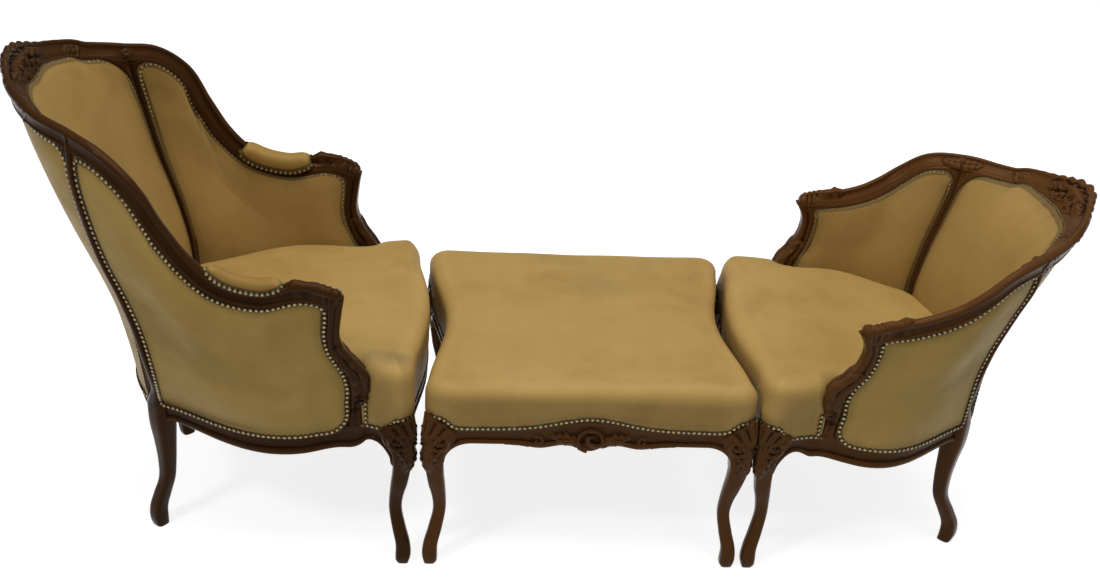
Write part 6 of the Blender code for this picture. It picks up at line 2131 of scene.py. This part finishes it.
def add_lights(scene):
    """An even white world and the lamps."""
    world = bpy.data.worlds.new("studio")
    scene.world = world
    world.use_nodes = True
    lit = world.node_tree.nodes["Background"]
    lit.inputs["Color"].default_value = (1.0, 1.0, 1.0, 1.0)
    lit.inputs["Strength"].default_value = WORLD_STRENGTH
    for name, place, size, power in LAMPS:
        data = bpy.data.lights.new(name, "AREA")
        data.size = size
        data.energy = power
        lamp = bpy.data.objects.new(name, data)
        scene.collection.objects.link(lamp)
        lamp.location = place
        direction = Vector(place) - Vector(LAMP_TARGET)
        lamp.rotation_euler = direction.to_track_quat("Z", "Y").to_euler()


def add_camera(scene):
    """The photograph's camera."""
    yaw = math.radians(CAMERA_YAW)
    pitch = math.radians(CAMERA_PITCH)
    roll = math.radians(CAMERA_ROLL)
    ahead = np.array((math.sin(yaw) * math.cos(pitch), math.cos(yaw) * math.cos(pitch),
                      -math.sin(pitch)))
    level = np.array((math.cos(yaw), -math.sin(yaw), 0.0))
    upright = np.cross(level, ahead)
    right = math.cos(roll) * level + math.sin(roll) * upright
    up = -math.sin(roll) * level + math.cos(roll) * upright
    data = bpy.data.cameras.new("camera")
    data.lens = CAMERA_LENS
    data.sensor_width = SENSOR_WIDTH
    camera = bpy.data.objects.new("camera", data)
    scene.collection.objects.link(camera)
    columns = np.stack((right, up, -ahead, np.array(CAMERA_PLACE)), axis=1)
    camera.matrix_world = Matrix([list(row) for row in columns] + [[0.0, 0.0, 0.0, 1.0]])
    scene.camera = camera


def studio():
    """Floor, world, lamps and camera."""
    scene = bpy.context.scene
    scene.view_settings.view_transform = "Standard"
    add_floor()
    add_lights(scene)
    add_camera(scene)


# Gain of the wood for each section; light, base and dark tones of each leather
GREY_STAIN = (0.170, 0.125, 0.058)
DARK_STAIN = (0.05, 0.03, 0.015)
MATERIALS = {
    "walnut": walnut("carved_walnut", 0.76),
    "large walnut": walnut("dark_walnut", 0.36),
    "small walnut": walnut("rubbed_walnut", 0.72),
    "seat leather": leather("seat_leather", (0.440, 0.284, 0.092), (0.400, 0.256, 0.079),
                            (0.335, 0.205, 0.058),
                            (((-0.392, -0.256, 0.487), 0.022, 0.6, GREY_STAIN, 0.60),
                             ((-0.362, -0.250, 0.487), 0.020, 0.6, GREY_STAIN, 0.55),
                             ((-0.330, -0.244, 0.487), 0.018, 0.6, GREY_STAIN, 0.45),
                             ((0.098, 0.102, 0.467), 0.050, 0.6, GREY_STAIN, 0.22),
                             ((0.529, -0.157, 0.470), 0.005, 0.3, DARK_STAIN, 0.80))),
    "arm leather": leather("arm_leather", (0.330, 0.200, 0.052), (0.298, 0.178, 0.044),
                           (0.250, 0.145, 0.034)),
    # The inside leather's tones are set lighter to make up for the lamp and floor light that
    # the inner walls lack: painted light
    "inside leather": leather("inside_leather", (0.390, 0.247, 0.077),
                              (0.356, 0.221, 0.066), (0.303, 0.183, 0.050)),
    "outside leather": leather("outside_leather", (0.470, 0.312, 0.094),
                               (0.424, 0.280, 0.081), (0.360, 0.233, 0.063)),
    "brass": brass("antique_brass"),
    "webbing": jute("jute_webbing")}

seat_low, seat_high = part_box("stool_seat_cover")
stool = Section("stool", "stool", 1, (seat_low.x + seat_high.x) / 2)

large = Chair("large", "large_bergere", -1, LARGE_BACK_REACH, LARGE_ARM_HALF_WIDTH,
              LARGE_CREST_HEIGHT, LARGE_REAR_LEG_KICK, LARGE_SEAT_HEIGHTS,
              LARGE_CREST_LINE,
              {"top": LARGE_TOP_SHARES, "join": 8, "stile": LARGE_STILE_SHARES,
               "post": LARGE_ARM_POST_SHARES, "spine": LARGE_SPINE_SHARES,
               "rail_front": LARGE_RAIL_FRONT_SHARES, "rail_side": LARGE_RAIL_SIDE_SHARES,
               "rail_back": LARGE_RAIL_BACK_SHARES})
small = Chair("small", "small_bergere", 1, SMALL_BACK_REACH, SMALL_ARM_HALF_WIDTH,
              SMALL_CREST_HEIGHT, SMALL_REAR_LEG_KICK, SMALL_SEAT_HEIGHTS,
              SMALL_CREST_LINE,
              {"top": SMALL_TOP_SHARES, "join": 7, "stile": SMALL_STILE_SHARES,
               "post": SMALL_ARM_POST_SHARES, "spine": SMALL_SPINE_SHARES,
               "rail_front": SMALL_RAIL_FRONT_SHARES, "rail_side": SMALL_RAIL_SIDE_SHARES,
               "rail_back": SMALL_RAIL_BACK_SHARES})
for section, build in ((stool, stool_body), (large, bergere_body), (small, bergere_body)):
    nails = Nails(section)
    build(section, nails)
    if section is large:
        arm_cushions(section, nails)
    nails.build(MATERIALS["brass"])

studio()
